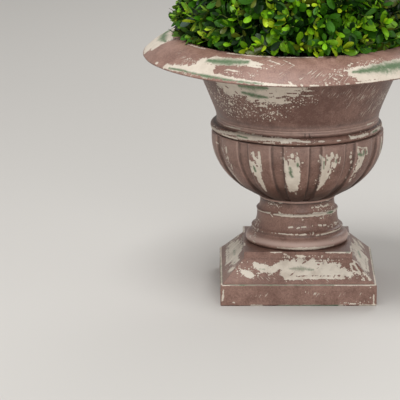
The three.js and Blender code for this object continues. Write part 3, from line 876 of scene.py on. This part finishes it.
beltSettings = {
    "turns": 480,
    "inside": 0.112,
    "fatBead": (0.1275, 0.0058),  # reach and radius
    "thinBead": (0.1203, 0.0017),
    "margin": 0.0008,
    "leftShift": 0.002,  # the fat bead sits a little to the left
    "dents": (0.0006, 0.03, 0.6),
    "paint": {"dusty": 0.5, "ragged": 1.2, "fleck": 0.9},
    "creamWear": [
        (-84, 249, -71, 249.5, 1.6, 2), (-71, 249, -46, 253.5, 1.7, 2.2), (-61, 247, -45, 246.4, 1.4, 1.6),
        (-46, 253.8, -27, 252.7, 3, 3.2), (-27, 252.3, -12, 252.7, 2.8, 2.4), (-12, 252.7, -1, 252.6, 2, 1.6),
        (-12, 249.4, -7, 249, 1.2, 1), (-24, 247, -17, 247.9, 1), (-43, 249.4, -29.5, 250.4, 2.6, 2),
        (-67, 258, -46, 260.4, 0.9), (-1, 251.8, 7, 249.8, 1.5, 1), (13, 250.4, 16.5, 250, 0.9),
        (26, 249.4, 28, 249.4, 0.9), (36, 254, 37, 250.4, 1.1, 1.3), (37, 250.4, 53.5, 250.4, 2.1, 1.9),
        (59, 251, 74, 251.5, 1.9, 1.7), (57, 262.6, 68, 261.5, 1.4, 1.1), (80, 251, 96, 250, 1.6, 1.2),
    ],
    "greenWear": [(-45, 252, -36, 251, 1.4, 1.2), (60, 250.6, 68, 250.6, 1.4)],
    "specks": [(-80, 250, 10, 250, 3), (36, 250, 80, 250, 3)],
    "dark": [(3.8, 261, 3.8, 257, 0.9), (6.8, 261, 6.9, 256.6, 0.9)],
}


def buildBelt():
    s, (low, high) = beltSettings, nodeBoxes["urn_belt"]
    reach, radius = s["fatBead"]
    thinReach, thin = s["thinBead"]
    beadHeight = low.z + radius + s["margin"]
    path = [(s["inside"], low.z)]
    lineTo(path, (reach - radius, low.z), 0.004)
    arcTo(path, (reach - radius, beadHeight), radius, -82, 80, 0.0008)
    arcTo(path, (thinReach - thin + 0.0004, high.z - 3 * thin - 0.0004), thin, -70, 60, 0.0005)
    arcTo(path, (thinReach - thin, high.z - thin), thin, -50, 88, 0.0005)
    lineTo(path, (s["inside"], high.z), 0.004)
    lineTo(path, (s["inside"], low.z), 0.006)
    piece = spinProfile(path, s["turns"])
    outer, height = measure(piece)[1:]
    fat = smoothStep(thinReach + 0.0005, reach - 0.001, outer) * (height < beadHeight + radius)
    pushPoints(piece, "beads", np.where(outer > thinReach - 2 * thin, 1.0, 0.0), *s["dents"])
    pushPoints(piece, "fatBead", fat, -s["leftShift"], direction="X")
    bearing, height = measure(piece)[::2]
    height = height * 1000
    groove = (beadHeight + radius) * 1000 + 0.6
    # painted shade and dirt: a little darker overall, and darker in the groove over the fat bead, at the foot and
    # under the thin bead's top
    shadeAndGrime = 0.25 + 0.9 * swell(height, groove, 1) + 0.5 * swell(height, low.z * 1000, 1.4)
    shadeAndGrime += 0.5 * swell(height, (high.z - 2 * thin) * 1000, 0.5)
    # painted highlights on the thin double bead
    paintedHighlight = 0.7 * smoothStep(groove + 1, groove + 2, height)
    paintPiece(piece, "beadedBelt", "urn_belt", withBack(s, 186, True), bearing, outer, height, shadeAndGrime, paintedHighlight)


buildBelt()


# Flare: the sheet wall above the belt

flareSettings = {
    "turns": 480,
    "footRadius": 0.1195,
    "topRadius": 0.173,
    "spread": 0.36,
    "wall": 0.003,
    "cove": 0.0014,  # how far the foot eases out over the belt
    "dents": (0.0012, 0.07, 0.5),
    # the coat and the cream are set darker here: painted shade under the brim
    "paint": {"dusty": 0.2, "ragged": 1.2, "fleck": 1.5, "slant": 0.5, "creamTone": 0.3},
    "softest": 11.0,
    "creamWear": [
        (-52, 333, -1, 335, 12, 10), (-46, 322, -3, 327, 9, 6), (-32, 314, -11, 315, 6), (-49, 323, -51, 315, 5, 2.6),
        (-14, 310, -6, 312, 3, 2), (-57, 318, -57, 310, 2, 1.2), (-25, 304, -21, 303, 1.6), (2, 330, 8, 331, 1.2, 1),
        (2, 322, 7, 322.5, 1.1, 1), (-50, 300, -48, 298, 1.4, 1.2), (-38, 296, -36, 294, 1.3, 1.2),
    ],
    "greenWear": [
        (-37, 332, -28, 333, 3, 6), (-28, 333, -19, 333.5, 6, 3), (-36, 321.5, -28, 319.5, 2.4, 4.6),
        (-28, 319.5, -20, 317.5, 4.6, 2.4),
    ],
    "pits": [
        (-41, 321, -40, 319, 1.4), (-9, 326, -2, 326.5, 1), (-4, 331, 0, 331, 1), (-14, 318, -10, 319, 1.2, 1.1),
        (-48, 327, -46, 325, 1.3), (-28, 311, -26, 312, 1.3), (-18, 325, -16, 325, 1), (-38, 313, -35, 314, 1.6, 1.4),
    ],
    "specks": [
        (-60, 300, -14, 304, 14), (-56, 286, -16, 292, 8), (-8, 313, 8, 316, 9, 6), (-72, 308, -64, 296, 8),
        (64, 300, 80, 306, 8),
    ],
    "scratches": [
        (30, 322, 70, 296, 18, 26), (48, 284, 66, 290, 12), (14, 326, 32, 322, 6, 8), (-76, 320, -64, 324, 10),
    ],
}


def flareProfile(foot, top, inset):
    s = flareSettings
    middle = (foot + top) / 2
    middleRadius = s["footRadius"] + s["spread"] * (middle - foot)
    return (s["footRadius"] - inset, foot), (middleRadius - inset, middle), (s["topRadius"] - inset, top)


def buildFlare():
    s, (low, high) = flareSettings, nodeBoxes["urn_flare"]
    start, control, end = flareProfile(low.z, high.z, 0)
    innerStart, innerControl, innerEnd = flareProfile(low.z, high.z, s["wall"])
    outer = [start]
    bendTo(outer, control, end, 0.0018)
    path = [(radius + s["cove"] * math.exp(-(height - low.z) / 0.0028), height) for radius, height in outer]
    lineTo(path, innerEnd, 0.0015)
    bendTo(path, innerControl, innerStart, 0.006)
    lineTo(path, path[0], 0.0015)
    piece = spinProfile(path, s["turns"])
    height = measure(piece)[2]
    wall = smoothStep(low.z, low.z + 0.01, height) * (1 - smoothStep(high.z - 0.01, high.z, height))
    pushPoints(piece, "wall", wall, *s["dents"])
    bearing, radius, height = measure(piece)
    height = height * 1000
    # painted shade and dirt: darker under the brim, at the foot, and in the brim's shadow on the left
    shadeAndGrime = 0.14 + 0.4 * smoothStep(335, 378, height) + 0.3 * swell(height, low.z * 1000 + 5, 3)
    shadeAndGrime += 0.34 * swell(bearing, -64, 14) * smoothStep(290, 330, height)
    # painted highlight along the foot
    paintedHighlight = 0.35 * swell(height, low.z * 1000 + 1, 6)
    paintPiece(piece, "flaredWall", "urn_flare", withBack(s, 178, True), bearing, radius, height, shadeAndGrime, paintedHighlight)


buildFlare()


# Brim: turns over the flare's top in a rounded crest and droops to a thin lip

brimSettings = {
    "turns": 600,
    "crest": (0.177, 0.387),
    "bend": (0.2055, 0.382),
    "lip": (0.2295, 0.356),
    "wall": 0.003,
    "edgeRadius": 0.0015,
    "flareTop": 0.173,
    "seatGap": 0.0003,
    "frontDroop": 0.003,
    "droopBearing": -10,
    "droopSpread": 45,
    "dents": (0.0012, 0.09, 0.5),
    "paint": {"dusty": 0.63, "ragged": 1, "fleck": 1.2, "slant": -0.7, "creamTone": 0.6},
    "creamWear": [
        (-39.5, 202, -22.8, 197, 8.6, 6.7), (-22.8, 196, -16.5, 200, 5.5, 2.1), (-44, 209, -39.5, 203, 6, 8.8),
        (-46, 218.5, -37, 214, 6.4, 7), (-51, 221.7, -44, 219.6, 3.4, 5.4), (-60, 226.2, -47.5, 222, 3.2, 5),
        (-47.5, 222, -31.5, 224, 5.6, 3.4), (-31.5, 224.4, -22, 226, 3.2, 2.6), (-22, 226, -11, 228.4, 2.6, 1.7),
        (-11, 228.4, -2, 228.9, 1.4, 1.1), (-106, 222, -86, 222, 5, 7), (-107, 211, -82, 211, 8),
        (-104, 200, -81, 200, 8, 7), (-98, 190, -80, 191, 5, 4), (20, 214.4, 46, 213, 7.4, 11.4),
        (22, 222.5, 50, 224.6, 5.4, 7.4), (19.8, 228.5, 56, 229.3, 1.1, 1.5), (46, 212, 58, 214, 10, 5),
        (-65, 181, -49.5, 180.4, 1), (-36, 180.4, -14, 180.2, 1.5, 1.1), (-10.5, 179.6, 10, 179, 1.1, 1),
        (-67, 226.5, -66, 226.8, 1.6), (-0.2, 228, 0, 228.9, 2), (-4.5, 224.5, -3.5, 228, 1.3, 1),
        (3, 229.2, 6, 229, 1.1, 1), (8.8, 229, 9.2, 229, 1), (19.5, 202.6, 19.8, 203, 1.6),
        (21.2, 199, 21.2, 199.9, 1.4), (-14, 190, -9, 197, 1, 0.9), (-8, 188, -3, 199, 0.9),
        (-22, 203, -16, 205, 1.6, 1.2), (-30, 213, -25, 214, 1.2, 1), (17, 210, 18, 211, 1.2),
        (14, 216, 15.5, 218, 1), (12, 221, 13, 223, 1),
    ],
    "greenWear": [
        (-41, 203.5, -32, 200.5, 4, 8.5), (-32, 200.5, -23, 197, 8.5, 4), (20, 214, 36, 213, 2, 10.5),
        (36, 213, 57, 213, 10.5, 4), (-57, 226.6, -48, 224.6, 1.6), (-50, 225.2, -34, 226.2, 1, 2.6),
        (-34, 226.2, -14, 228, 2.6, 1.1), (-103, 200, -91, 200, 1.5, 9), (-91, 200, -80, 198, 9, 1.5),
    ],
    "specks": [
        (12, 214, 20, 210, 5, 6), (-18, 204, -12, 201, 4, 3), (-52, 212, -46, 207, 4), (-30, 216, -18, 218, 3),
        (6, 227, 18, 228, 2), (24, 201, 36, 200, 3),
    ],
    "scratches": [(-16, 188, -4, 202, 8), (4, 214, 18, 222, 9), (-8, 214, 2, 222, 6), (-60, 205, -52, 212, 7)],
}


def buildBrim():
    s = brimSettings
    wall, crest, bend, lip, edge = s["wall"], s["crest"], s["bend"], s["lip"], s["edgeRadius"]
    foot = nodeBoxes["urn_flare"][1].z + s["seatGap"]
    path = [(s["flareTop"], foot)]
    lineTo(path, (crest[0], crest[1] - wall), 0.0015)
    bendTo(path, (bend[0] - wall, bend[1] - wall), (lip[0] - wall, lip[1] + 0.0003), 0.003)
    arcTo(path, (lip[0] - edge, lip[1] + edge), edge, -130, 30, 0.0006)  # the sheet's edge is rolled
    bendTo(path, bend, crest, 0.0014)
    bendTo(path, (s["flareTop"], crest[1]), (s["flareTop"] - wall, foot), 0.0012)
    lineTo(path, path[0], 0.0015)
    piece = spinProfile(path, s["turns"])
    bearing, radius = measure(piece)[:2]
    pushPoints(piece, "sheet", smoothStep(0.176, 0.19, radius), *s["dents"])
    front = smoothStep(0.182, lip[0], radius) * swell(bearing, s["droopBearing"], s["droopSpread"])
    pushPoints(piece, "front", front, -s["frontDroop"], direction="Z")
    radius = measure(piece)[1]
    normals = np.empty(len(radius) * 3, np.float32)
    piece.data.vertices.foreach_get("normal", normals)
    upper = normals.reshape(-1, 3)[:, 2] > -0.2
    run = np.where(upper, radius * 1000, 100 + 100 * radius)  # the underside lies out of the strokes' reach
    # painted shade on the underside
    shadeAndGrime = np.where(upper, 0.05, 0.45)
    paintPiece(piece, "droopingBrim", "urn_brim", withBack(s, 168, True), bearing, radius, run, shadeAndGrime)


buildBrim()


# Soil and the shrub's short woody stem, both under the ball. Crumbs and ridges are given like dents, with a detail

soilSettings = {
    "turns": 160,
    "radius": 0.111,
    "top": 0.255,
    "wallGap": 0.0003,
    "leafGap": 0.006,  # height over the soil that stays free of leaves
    "crumbs": (0.004, 0.009, 0.75, 4),
    "dark": rgb(30, 22, 16),
    "pale": rgb(80, 62, 45),
}
barkSettings = {
    "turns": 48,
    "footRadius": 0.014,
    "radius": 0.0095,
    "taper": 0.001,
    "flare": 0.024,
    "ridges": (-0.0011, 0.006, 0.3, 4),
    "dark": rgb(70, 57, 42),
    "pale": rgb(150, 134, 106),
    "greenDark": rgb(84, 104, 34),
    "greenPale": rgb(150, 164, 84),
}


def makeRough(name, dark, pale, scale, stretch, depth):
    # earth and bark: a dark and a pale tone in one rough pattern
    rough, tree, shader = newFinish(name)
    place = addNode(tree, "ShaderNodeTexCoord").outputs["Object"]
    drawn = addNode(tree, "ShaderNodeMapping", {"Vector": place, "Scale": (1.0, 1.0, stretch)}).outputs["Vector"]
    pattern = grainAt(tree, drawn, scale, 5, 0.68)
    feed(tree, shader, {
        "Base Color": mixColor(tree, ramp(tree, pattern, -0.15, 0.18), dark, pale),
        "Roughness": ramp(tree, pattern, -0.2, 0.2, 0.95, 0.7),
        "Normal": relief(tree, pattern, depth),
    })
    return rough


def buildSoil():
    s, b = soilSettings, bowlSettings
    low, high = nodeBoxes["soil"]
    inset = b["wall"] + s["wallGap"]
    depth, inner = b["depth"] - inset, b["radius"] - inset
    start = bowlAngle(low.z, depth)
    path = [(0, low.z)]
    lineTo(path, (inner * math.cos(math.radians(start)) - b["footInset"], low.z), 0.01)
    arcTo(path, (0, b["middle"]), inner, start, 0, 0.006, depth / inner)
    lineTo(path, (s["radius"], b["middle"] + 0.001), 0.003)
    lineTo(path, (s["radius"], s["top"]), 0.003)
    bendTo(path, (s["radius"] / 2, high.z), (0, high.z), 0.0025)
    piece = spinProfile(path, s["turns"])
    radius, height = measure(piece)[1:]
    top = smoothStep(s["top"] - 0.001, s["top"] + 0.0005, height)
    pushPoints(piece, "top", top * (1 - smoothStep(s["radius"] - 0.008, s["radius"], radius)), *s["crumbs"])
    earth = makeRough("dampEarth", s["dark"], s["pale"], 260, 1.0, 0.002)
    finishPiece(piece, "pottingSoil", "soil", earth)


def buildTrunk(bark):
    s, (low, high) = barkSettings, nodeBoxes["woody_stem"]
    path = [(0, low.z)]
    lineTo(path, (s["footRadius"], low.z), 0.004)
    bendTo(path, (s["radius"] + s["taper"], low.z + s["flare"] / 4), (s["radius"], low.z + s["flare"]), 0.0016)
    lineTo(path, (s["radius"] - s["taper"], high.z), 0.0018)
    lineTo(path, (0, high.z), 0.004)
    piece = spinProfile(path, s["turns"])
    radius, height = measure(piece)[1:]
    side = smoothStep(0.004, 0.008, radius) * smoothStep(low.z, low.z + 0.004, height)
    pushPoints(piece, "side", side, *s["ridges"])
    finishPiece(piece, "woodyStem", "woody_stem", bark)


boxBark = makeRough("boxBark", barkSettings["dark"], barkSettings["pale"], 240, 0.22, 0.0012)
buildSoil()
buildTrunk(boxBark)


# Foliage: the source's rule, carried to finer shoots within the same reach

ballSettings = {
    "height": 0.425,
    "reach": 0.196,
    "reachSpread": 0.010,
    "reachSlack": 0.0015,
    "boughs": 14,
    "boughReach": 0.072,
    "branches": 84,
    "branchReach": 0.124,
    "shoots": 900,
    "tipRange": (0.163, 0.181),
    "lean": 1.05,
    "lift": 0.14,
    "placeSpread": 0.006,
    "turnSpread": 0.6,
    "splaySpread": 28,
    "leafClearance": 0.0012,
    "shortestLeaf": 0.0065,
    "lifts": (0, 0.45, 1.0),  # tried in turn on a leaf that has no room
    # the greyish leaves carry a painted reflection of the sky
    "oddShare": 0.065,  # leaves of an odd shade, of which the first part is olive and the rest greyish
    "oliveShare": 0.05,
    "youthRange": (0.35, 0.95),
    "youthSpread": 0.2,
    "tipYouth": 0.16,
    "agePerPair": 0.12,
    "vigorRange": (0.8, 1.12),
    "sizeRange": (0.82, 1.12),
    "widthRange": (0.92, 1.12),
    "tiltRange": (-0.45, 0.45),
    # leaves are painted darker at random within this range, as painted shade
    "litShareRange": (0.45, 1),
    "shadePerPair": 0.17,
    "greenStem": 0.032,
    "boughRadius": 0.0048,
    "branchRadius": 0.0026,
    "twigRadius": 0.0012,
    "greenRadius": 0.0009,
    "seed": 31,
}

# pairs of leaves on a shoot: distance below its tip, splay from it in degrees, and length
leafPairs = [
    (0.0000, 22, 0.0120),
    (0.0022, 38, 0.0195),
    (0.0068, 50, 0.0250),
    (0.0125, 58, 0.0285),
    (0.0190, 64, 0.0290),
    (0.0265, 70, 0.0270),
]

# from the youngest leaves to the oldest: the colour of the blade and of its underside, and its shine
leafShades = {
    "fresh": (rgb(190, 222, 40), rgb(160, 186, 58), 0.4),
    "bright": (rgb(132, 192, 24), rgb(126, 164, 52), 0.4),
    "mid": (rgb(58, 114, 10), rgb(84, 118, 44), 0.28),
    "deep": (rgb(20, 54, 6), rgb(54, 78, 38), 0.14),
    "olive": (rgb(88, 100, 14), rgb(106, 114, 48), 0.3),
    # grey-green blades: a painted reflection of the sky on glossy leaves
    "skyReflecting": (rgb(84, 108, 92), rgb(118, 134, 118), 0.45),
}
shadeSteps = [("fresh", 0.87), ("bright", 0.64), ("mid", 0.36)]  # each for leaves younger than its number

# a blade's curl, then its rows: share of its length, half width, and how far its edges turn down there
leafBlades = [
    (-0.12, [(0, 0.03, 0), (0.2, 0.12, 0.015), (0.45, 0.2, 0.045),
             (0.68, 0.225, 0.055), (0.88, 0.165, 0.03), (1, 0.06, 0)]),
    (-0.04, [(0, 0.03, 0), (0.2, 0.135, 0.015), (0.45, 0.225, 0.04),
             (0.68, 0.25, 0.045), (0.88, 0.185, 0.03), (1, 0.065, 0)]),
    (0.10, [(0, 0.028, 0), (0.22, 0.11, 0.01), (0.46, 0.17, -0.03),
            (0.68, 0.18, -0.035), (0.87, 0.13, -0.02), (1, 0.045, 0)]),
]
bladeThickness = 0.018


def modelBlade(curl, rows):
    # a grid of two by five faces, shaped row by row, then doubled with its rim closed; 1 long along +Y
    selectNothing()
    bpy.ops.mesh.primitive_grid_add(x_subdivisions=2, y_subdivisions=5, size=1)
    piece = bpy.context.object
    startEditing(piece)
    for i, (share, half, drop) in enumerate(rows):
        level = i / (len(rows) - 1) - 0.5
        choosePoints(piece, lambda co: abs(co.y - level) < 0.01 and abs(co.z) < 0.0001)
        # rows that are done are lifted out of the way by a whole unit until the end
        bpy.ops.transform.resize(value=(2 * half, 1, 1), center_override=(0, level, 0))
        moveBy(0, share - level, curl * share ** 2 + 1)
        choosePoints(piece, lambda co: abs(co.y - share) < 0.01 and abs(co.x) > half * 0.5 and co.z > 0.5)
        moveBy(0, 0, -drop)
    selectAll()
    moveBy(0, 0, -1)
    choosePoints(piece, lambda co: co.y > 0.99 and abs(co.x) < 0.01)
    moveBy(0, 0.02, 0)
    selectAll()
    bpy.ops.mesh.extrude_region_move(TRANSFORM_OT_translate={"value": (0, 0, -bladeThickness)})

    def onRim(co):
        return any(abs(co.y - share) < 0.01 and abs(co.x) > half * 0.9 for share, half, drop in rows)

    choosePoints(piece, onRim)
    bpy.ops.mesh.remove_doubles(threshold=bladeThickness * 1.2)
    selectAll()
    bpy.ops.mesh.normals_make_consistent(inside=False)
    stopEditing()
    return takeShape(piece)


def takeShape(piece):
    # the shape as arrays, for copying; the model itself is thrown away
    points = pointsOf(piece)
    faces = [list(face.vertices) for face in piece.data.polygons]
    rim = (np.abs(points[:, 0]) > 0.02) | (points[:, 1] < 0.01) | (points[:, 1] > 0.99)
    # of the two points at one place on the midrib, the lower one is the underside's
    under = np.full(len(points), 0.5)
    for i in np.flatnonzero(~rim):
        beside = ~rim & (np.abs(points[:, 1] - points[i, 1]) < 0.01)
        under[i] = 1.0 if points[i, 2] < points[beside, 2].mean() else 0.0
    bpy.data.objects.remove(piece)
    return {"points": points, "faces": faces, "under": under}


def modelTwig(sides=5):
    # a unit rod along +Y that thins towards its tip
    selectNothing()
    bpy.ops.mesh.primitive_cylinder_add(vertices=sides, radius=1, depth=1, location=(0, 0, 0))
    piece = bpy.context.object
    startEditing(piece)
    selectAll()
    moveBy(0, 0, 0.5)
    choosePoints(piece, lambda co: co.z > 0.9)
    bpy.ops.transform.resize(value=(0.6, 0.6, 1), center_override=(0, 0, 1))
    selectAll()
    bpy.ops.transform.rotate(value=-math.pi / 2, orient_axis="X", center_override=(0, 0, 0))
    stopEditing()
    shape = takeShape(piece)
    if shape["points"][:, 1].min() < -0.5:  # keeps it along +Y whichever way the turn went
        shape["points"][:, 1:] *= -1
    return shape


def startHeap():
    # copies of small shapes, gathered for one joined mesh
    return {"points": [], "faces": [], "marks": [], "count": 0}


def addCopy(heap, shape, matrix, litShare=0.5):
    points, first = shape["points"], heap["count"]
    heap["points"].append(points @ matrix[:3, :3].T + matrix[:3, 3])
    heap["faces"] += [[corner + first for corner in face] for face in shape["faces"]]
    heap["marks"].append(np.column_stack([points[:, :2], shape["under"], np.full(len(points), litShare)]))
    heap["count"] += len(points)


def joinHeap(heap, name, material, node=None):
    mesh = bpy.data.meshes.new(name)
    mesh.from_pydata(np.concatenate(heap["points"]), [], heap["faces"])
    piece = bpy.data.objects.new(name, mesh)
    bpy.context.collection.objects.link(piece)
    marks = np.concatenate(heap["marks"])
    for column, mark in enumerate(("bladeAcross", "bladeAlong", "bladeUnder", "leafLitShare")):
        markPiece(piece, mark, marks[:, column])
    finishPiece(piece, name, node, material, 50)


def frameOf(root, along, across, scale):
    # a matrix whose +Y runs along the leaf and +X across it
    along = along.normalized()
    across = (across - along * across.dot(along)).normalized()
    matrix = np.eye(4)
    matrix[:3, 0] = np.array(across) * scale[0]
    matrix[:3, 1] = np.array(along) * scale[1]
    matrix[:3, 2] = np.array(across.cross(along)) * scale[2]
    matrix[:3, 3] = np.array(root)
    return matrix


def makeLeafFinish(name, blade, under, shine):
    leaf, tree, shader = newFinish(name)
    across = calc(tree, "ABSOLUTE", readMark(tree, "bladeAcross"))
    # pale lightens the midrib and the mottles, and paints a sheen on the rim; dark is the colour of painted shade
    pale = (*(min(1.0, c * 1.45 + 0.015) for c in blade[:3]), 1.0)
    dark = (*(c * 0.2 for c in blade[:3]), 1.0)
    rib = ramp(tree, across, 0.0, 0.045, 0.5, 0.0)
    # painted sheen along the blade's rim
    rim = ramp(tree, across, 0.15, 0.26, 0.0, 0.3)
    color = mixColor(tree, calc(tree, "ADD", rib, rim), blade, pale)
    # painted shade towards the blade's base
    color = mixColor(tree, ramp(tree, readMark(tree, "bladeAlong"), 0.4, 0.0, 0.0, 0.45), color, dark)
    # painted shade: leaves lower down and deeper in the ball are darkened by their mark
    color = mixColor(tree, ramp(tree, readMark(tree, "leafLitShare"), 0.0, 1.0, 0.85, 0.0, "LINEAR"), color, dark)
    place = addNode(tree, "ShaderNodeTexCoord").outputs["Object"]
    mottle = grainAt(tree, place, 70, 3, 0.6)
    color = mixColor(tree, ramp(tree, mottle, -0.04, 0.2, 0.0, 0.3), color, pale)
    below = ramp(tree, readMark(tree, "bladeUnder"), 0.51, 0.53)
    gloss = calc(tree, "ADD", blend(tree, (below, 0.3), (mottle, 0.3)), 0.34)
    color = mixColor(tree, below, color, under)
    feed(tree, shader, {"Base Color": color, "Roughness": gloss, "Specular IOR Level": shine})
    return leaf


def flareInside(height):
    s, (low, high) = flareSettings, nodeBoxes["urn_flare"]
    rise = high.z - low.z
    share = min(max((height - low.z) / rise, 0), 1)
    straight = s["footRadius"] + s["spread"] * share * rise
    bend = (s["topRadius"] - s["footRadius"] - s["spread"] * rise) * share ** 2
    return straight + bend - s["wall"]


def brimOutside(radius):
    crest, bend, lip = (brimSettings[key] for key in ("crest", "bend", "lip"))
    across = crest[0] - 2 * bend[0] + lip[0]
    slope = bend[0] - crest[0]
    past = max(radius - crest[0], 0)
    share = (math.sqrt(slope * slope + across * past) - slope) / across
    return (1 - share) ** 2 * crest[1] + 2 * share * (1 - share) * bend[1] + share ** 2 * lip[1]


def hasRoom(point):
    # inside the ball's space, and clear of soil and urn
    s = ballSettings
    radius = math.hypot(point.x, point.y)
    if math.hypot(radius, point.z - s["height"]) > s["reach"] + s["reachSlack"]:
        return False
    if point.z < soilSettings["top"] + soilSettings["leafGap"]:
        return False
    if radius > flareSettings["topRadius"] - flareSettings["wall"]:
        return point.z > brimOutside(radius) + s["leafClearance"]
    return point.z > brimSettings["crest"][1] or radius < flareInside(point.z) - s["leafClearance"]


def lengthToReach(start, along, reach):
    out = start - Vector((0, 0, ballSettings["height"]))
    slope = out.dot(along)
    room = slope * slope + reach * reach - out.length_squared
    return -slope + math.sqrt(max(room, 0))


def spiral(count, i):
    level = 1 - 2 * (i + 0.5) / count
    turn = i * math.pi * (3 - math.sqrt(5))
    spread = math.sqrt(1 - level * level)
    return Vector((spread * math.cos(turn), spread * math.sin(turn), level))


def pickShade(youth, rng):
    # youth is 1 on a young tip and 0 low on an old shoot
    s = ballSettings
    odd = rng.random()
    if odd < s["oddShare"]:
        return "olive" if odd < s["oliveShare"] else "skyReflecting"
    youth += rng.uniform(-s["youthSpread"], s["youthSpread"])
    return next((shade for shade, oldest in shadeSteps if youth > oldest), "deep")


def placeLeaf(root, along, size, reach):
    # lifts a leaf that would pass through soil or urn, or gives it up
    s = ballSettings
    for lift in s["lifts"]:
        aimed = (along + Vector((0, 0, lift))).normalized()
        length = min(size, lengthToReach(root, aimed, reach))
        if length > s["shortestLeaf"] and all(hasRoom(root + aimed * length * part) for part in (0.35, 0.7, 1)):
            return aimed, length
    return None


def addTwig(heap, twig, start, end, radius):
    along = end - start
    matrix = frameOf(start, along, along.cross(Vector((0.3, 0.2, 1))), (radius, along.length, radius))
    addCopy(heap, twig, matrix)


def growShoot(heaps, blades, twig, outward, branches, rng):
    s = ballSettings
    spread = Vector([rng.uniform(-1, 1) * s["placeSpread"] for axis in range(3)])
    tip = Vector((0, 0, s["height"])) + outward * rng.uniform(*s["tipRange"]) + spread
    lean = Vector([rng.uniform(-0.5, 0.5) * s["lean"] for axis in range(3)])
    direction = (outward + lean + Vector((0, 0, s["lift"]))).normalized()
    turn = rng.uniform(0, math.pi)
    youth = rng.uniform(*s["youthRange"])
    vigor = rng.uniform(*s["vigorRange"])
    if not hasRoom(tip):
        return
    foot = tip - direction * s["greenStem"]
    nearest = min(branches, key=lambda end: (end - foot).length_squared)
    addTwig(heaps["wood"], twig, nearest, foot, s["twigRadius"])
    addTwig(heaps["green"], twig, foot, tip, s["greenRadius"])
    sideways = direction.cross(Vector((0, 0, 1)))
    sideways = sideways.normalized() if sideways.length > 0.01 else Vector((1, 0, 0))
    for index, (below, splayed, length) in enumerate(leafPairs):
        for half in (0, math.pi):
            angle = turn + index * math.pi / 2 + half + rng.uniform(-0.5, 0.5) * s["turnSpread"]
            outwards = Matrix.Rotation(angle, 3, direction) @ sideways
            splay = math.radians(splayed + rng.uniform(-0.5, 0.5) * s["splaySpread"])
            along = direction * math.cos(splay) + outwards * math.sin(splay)
            size = length * vigor * rng.uniform(*s["sizeRange"])
            root = tip - direction * below
            placed = placeLeaf(root, along, size, s["reach"] - rng.random() ** 2 * s["reachSpread"])
            shade = pickShade(youth + s["tipYouth"] - s["agePerPair"] * index, rng)
            blade = rng.choice(blades)
            width = rng.uniform(*s["widthRange"])
            tilt = rng.uniform(*s["tiltRange"])
            # painted shade, stronger on pairs further down the shoot
            litShare = rng.uniform(*s["litShareRange"]) * (1 - s["shadePerPair"] * index)  # darker further down
            if placed is None:
                continue
            aimed, size = placed
            across = Matrix.Rotation(tilt, 3, aimed) @ outwards.cross(direction)
            addCopy(heaps[shade], blade, frameOf(root, aimed, across, (size * width, size, size)), litShare)


def growBall():
    s = ballSettings
    rng = random.Random(s["seed"])
    middle = Vector((0, 0, s["height"]))
    blades = [modelBlade(curl, rows) for curl, rows in leafBlades]
    twig = modelTwig()
    heaps = {name: startHeap() for name in ("wood", "green", *leafShades)}

    # boughs from the stem's top, branches from the boughs, then shoots
    fork = Vector((0, 0, nodeBoxes["woody_stem"][1].z - 0.002))
    boughEnds = [middle + spiral(s["boughs"], i) * s["boughReach"] for i in range(s["boughs"])]
    for end in boughEnds:
        addTwig(heaps["wood"], twig, fork, end, s["boughRadius"])
    branchEnds = []
    for i in range(s["branches"]):
        end = middle + spiral(s["branches"], i) * s["branchReach"]
        if hasRoom(end + Vector((0, 0, -0.01))):
            nearest = min(boughEnds, key=lambda start: (start - end).length_squared)
            addTwig(heaps["wood"], twig, nearest, end, s["branchRadius"])
            branchEnds.append(end)
    for i in range(s["shoots"]):
        growShoot(heaps, blades, twig, spiral(s["shoots"], i), branchEnds, rng)

    joinHeap(heaps["wood"], "boughsAndTwigs", boxBark)
    greenBark = makeRough("greenStems", barkSettings["greenDark"], barkSettings["greenPale"], 200, 0.3, 0.0004)
    joinHeap(heaps["green"], "greenStems", greenBark)
    for shade, tones in leafShades.items():
        finish = makeLeafFinish(shade + "Leaf", *tones)
        joinHeap(heaps[shade], shade + "Leaves", finish, "foliage_ball" if shade == "mid" else None)


growBall()
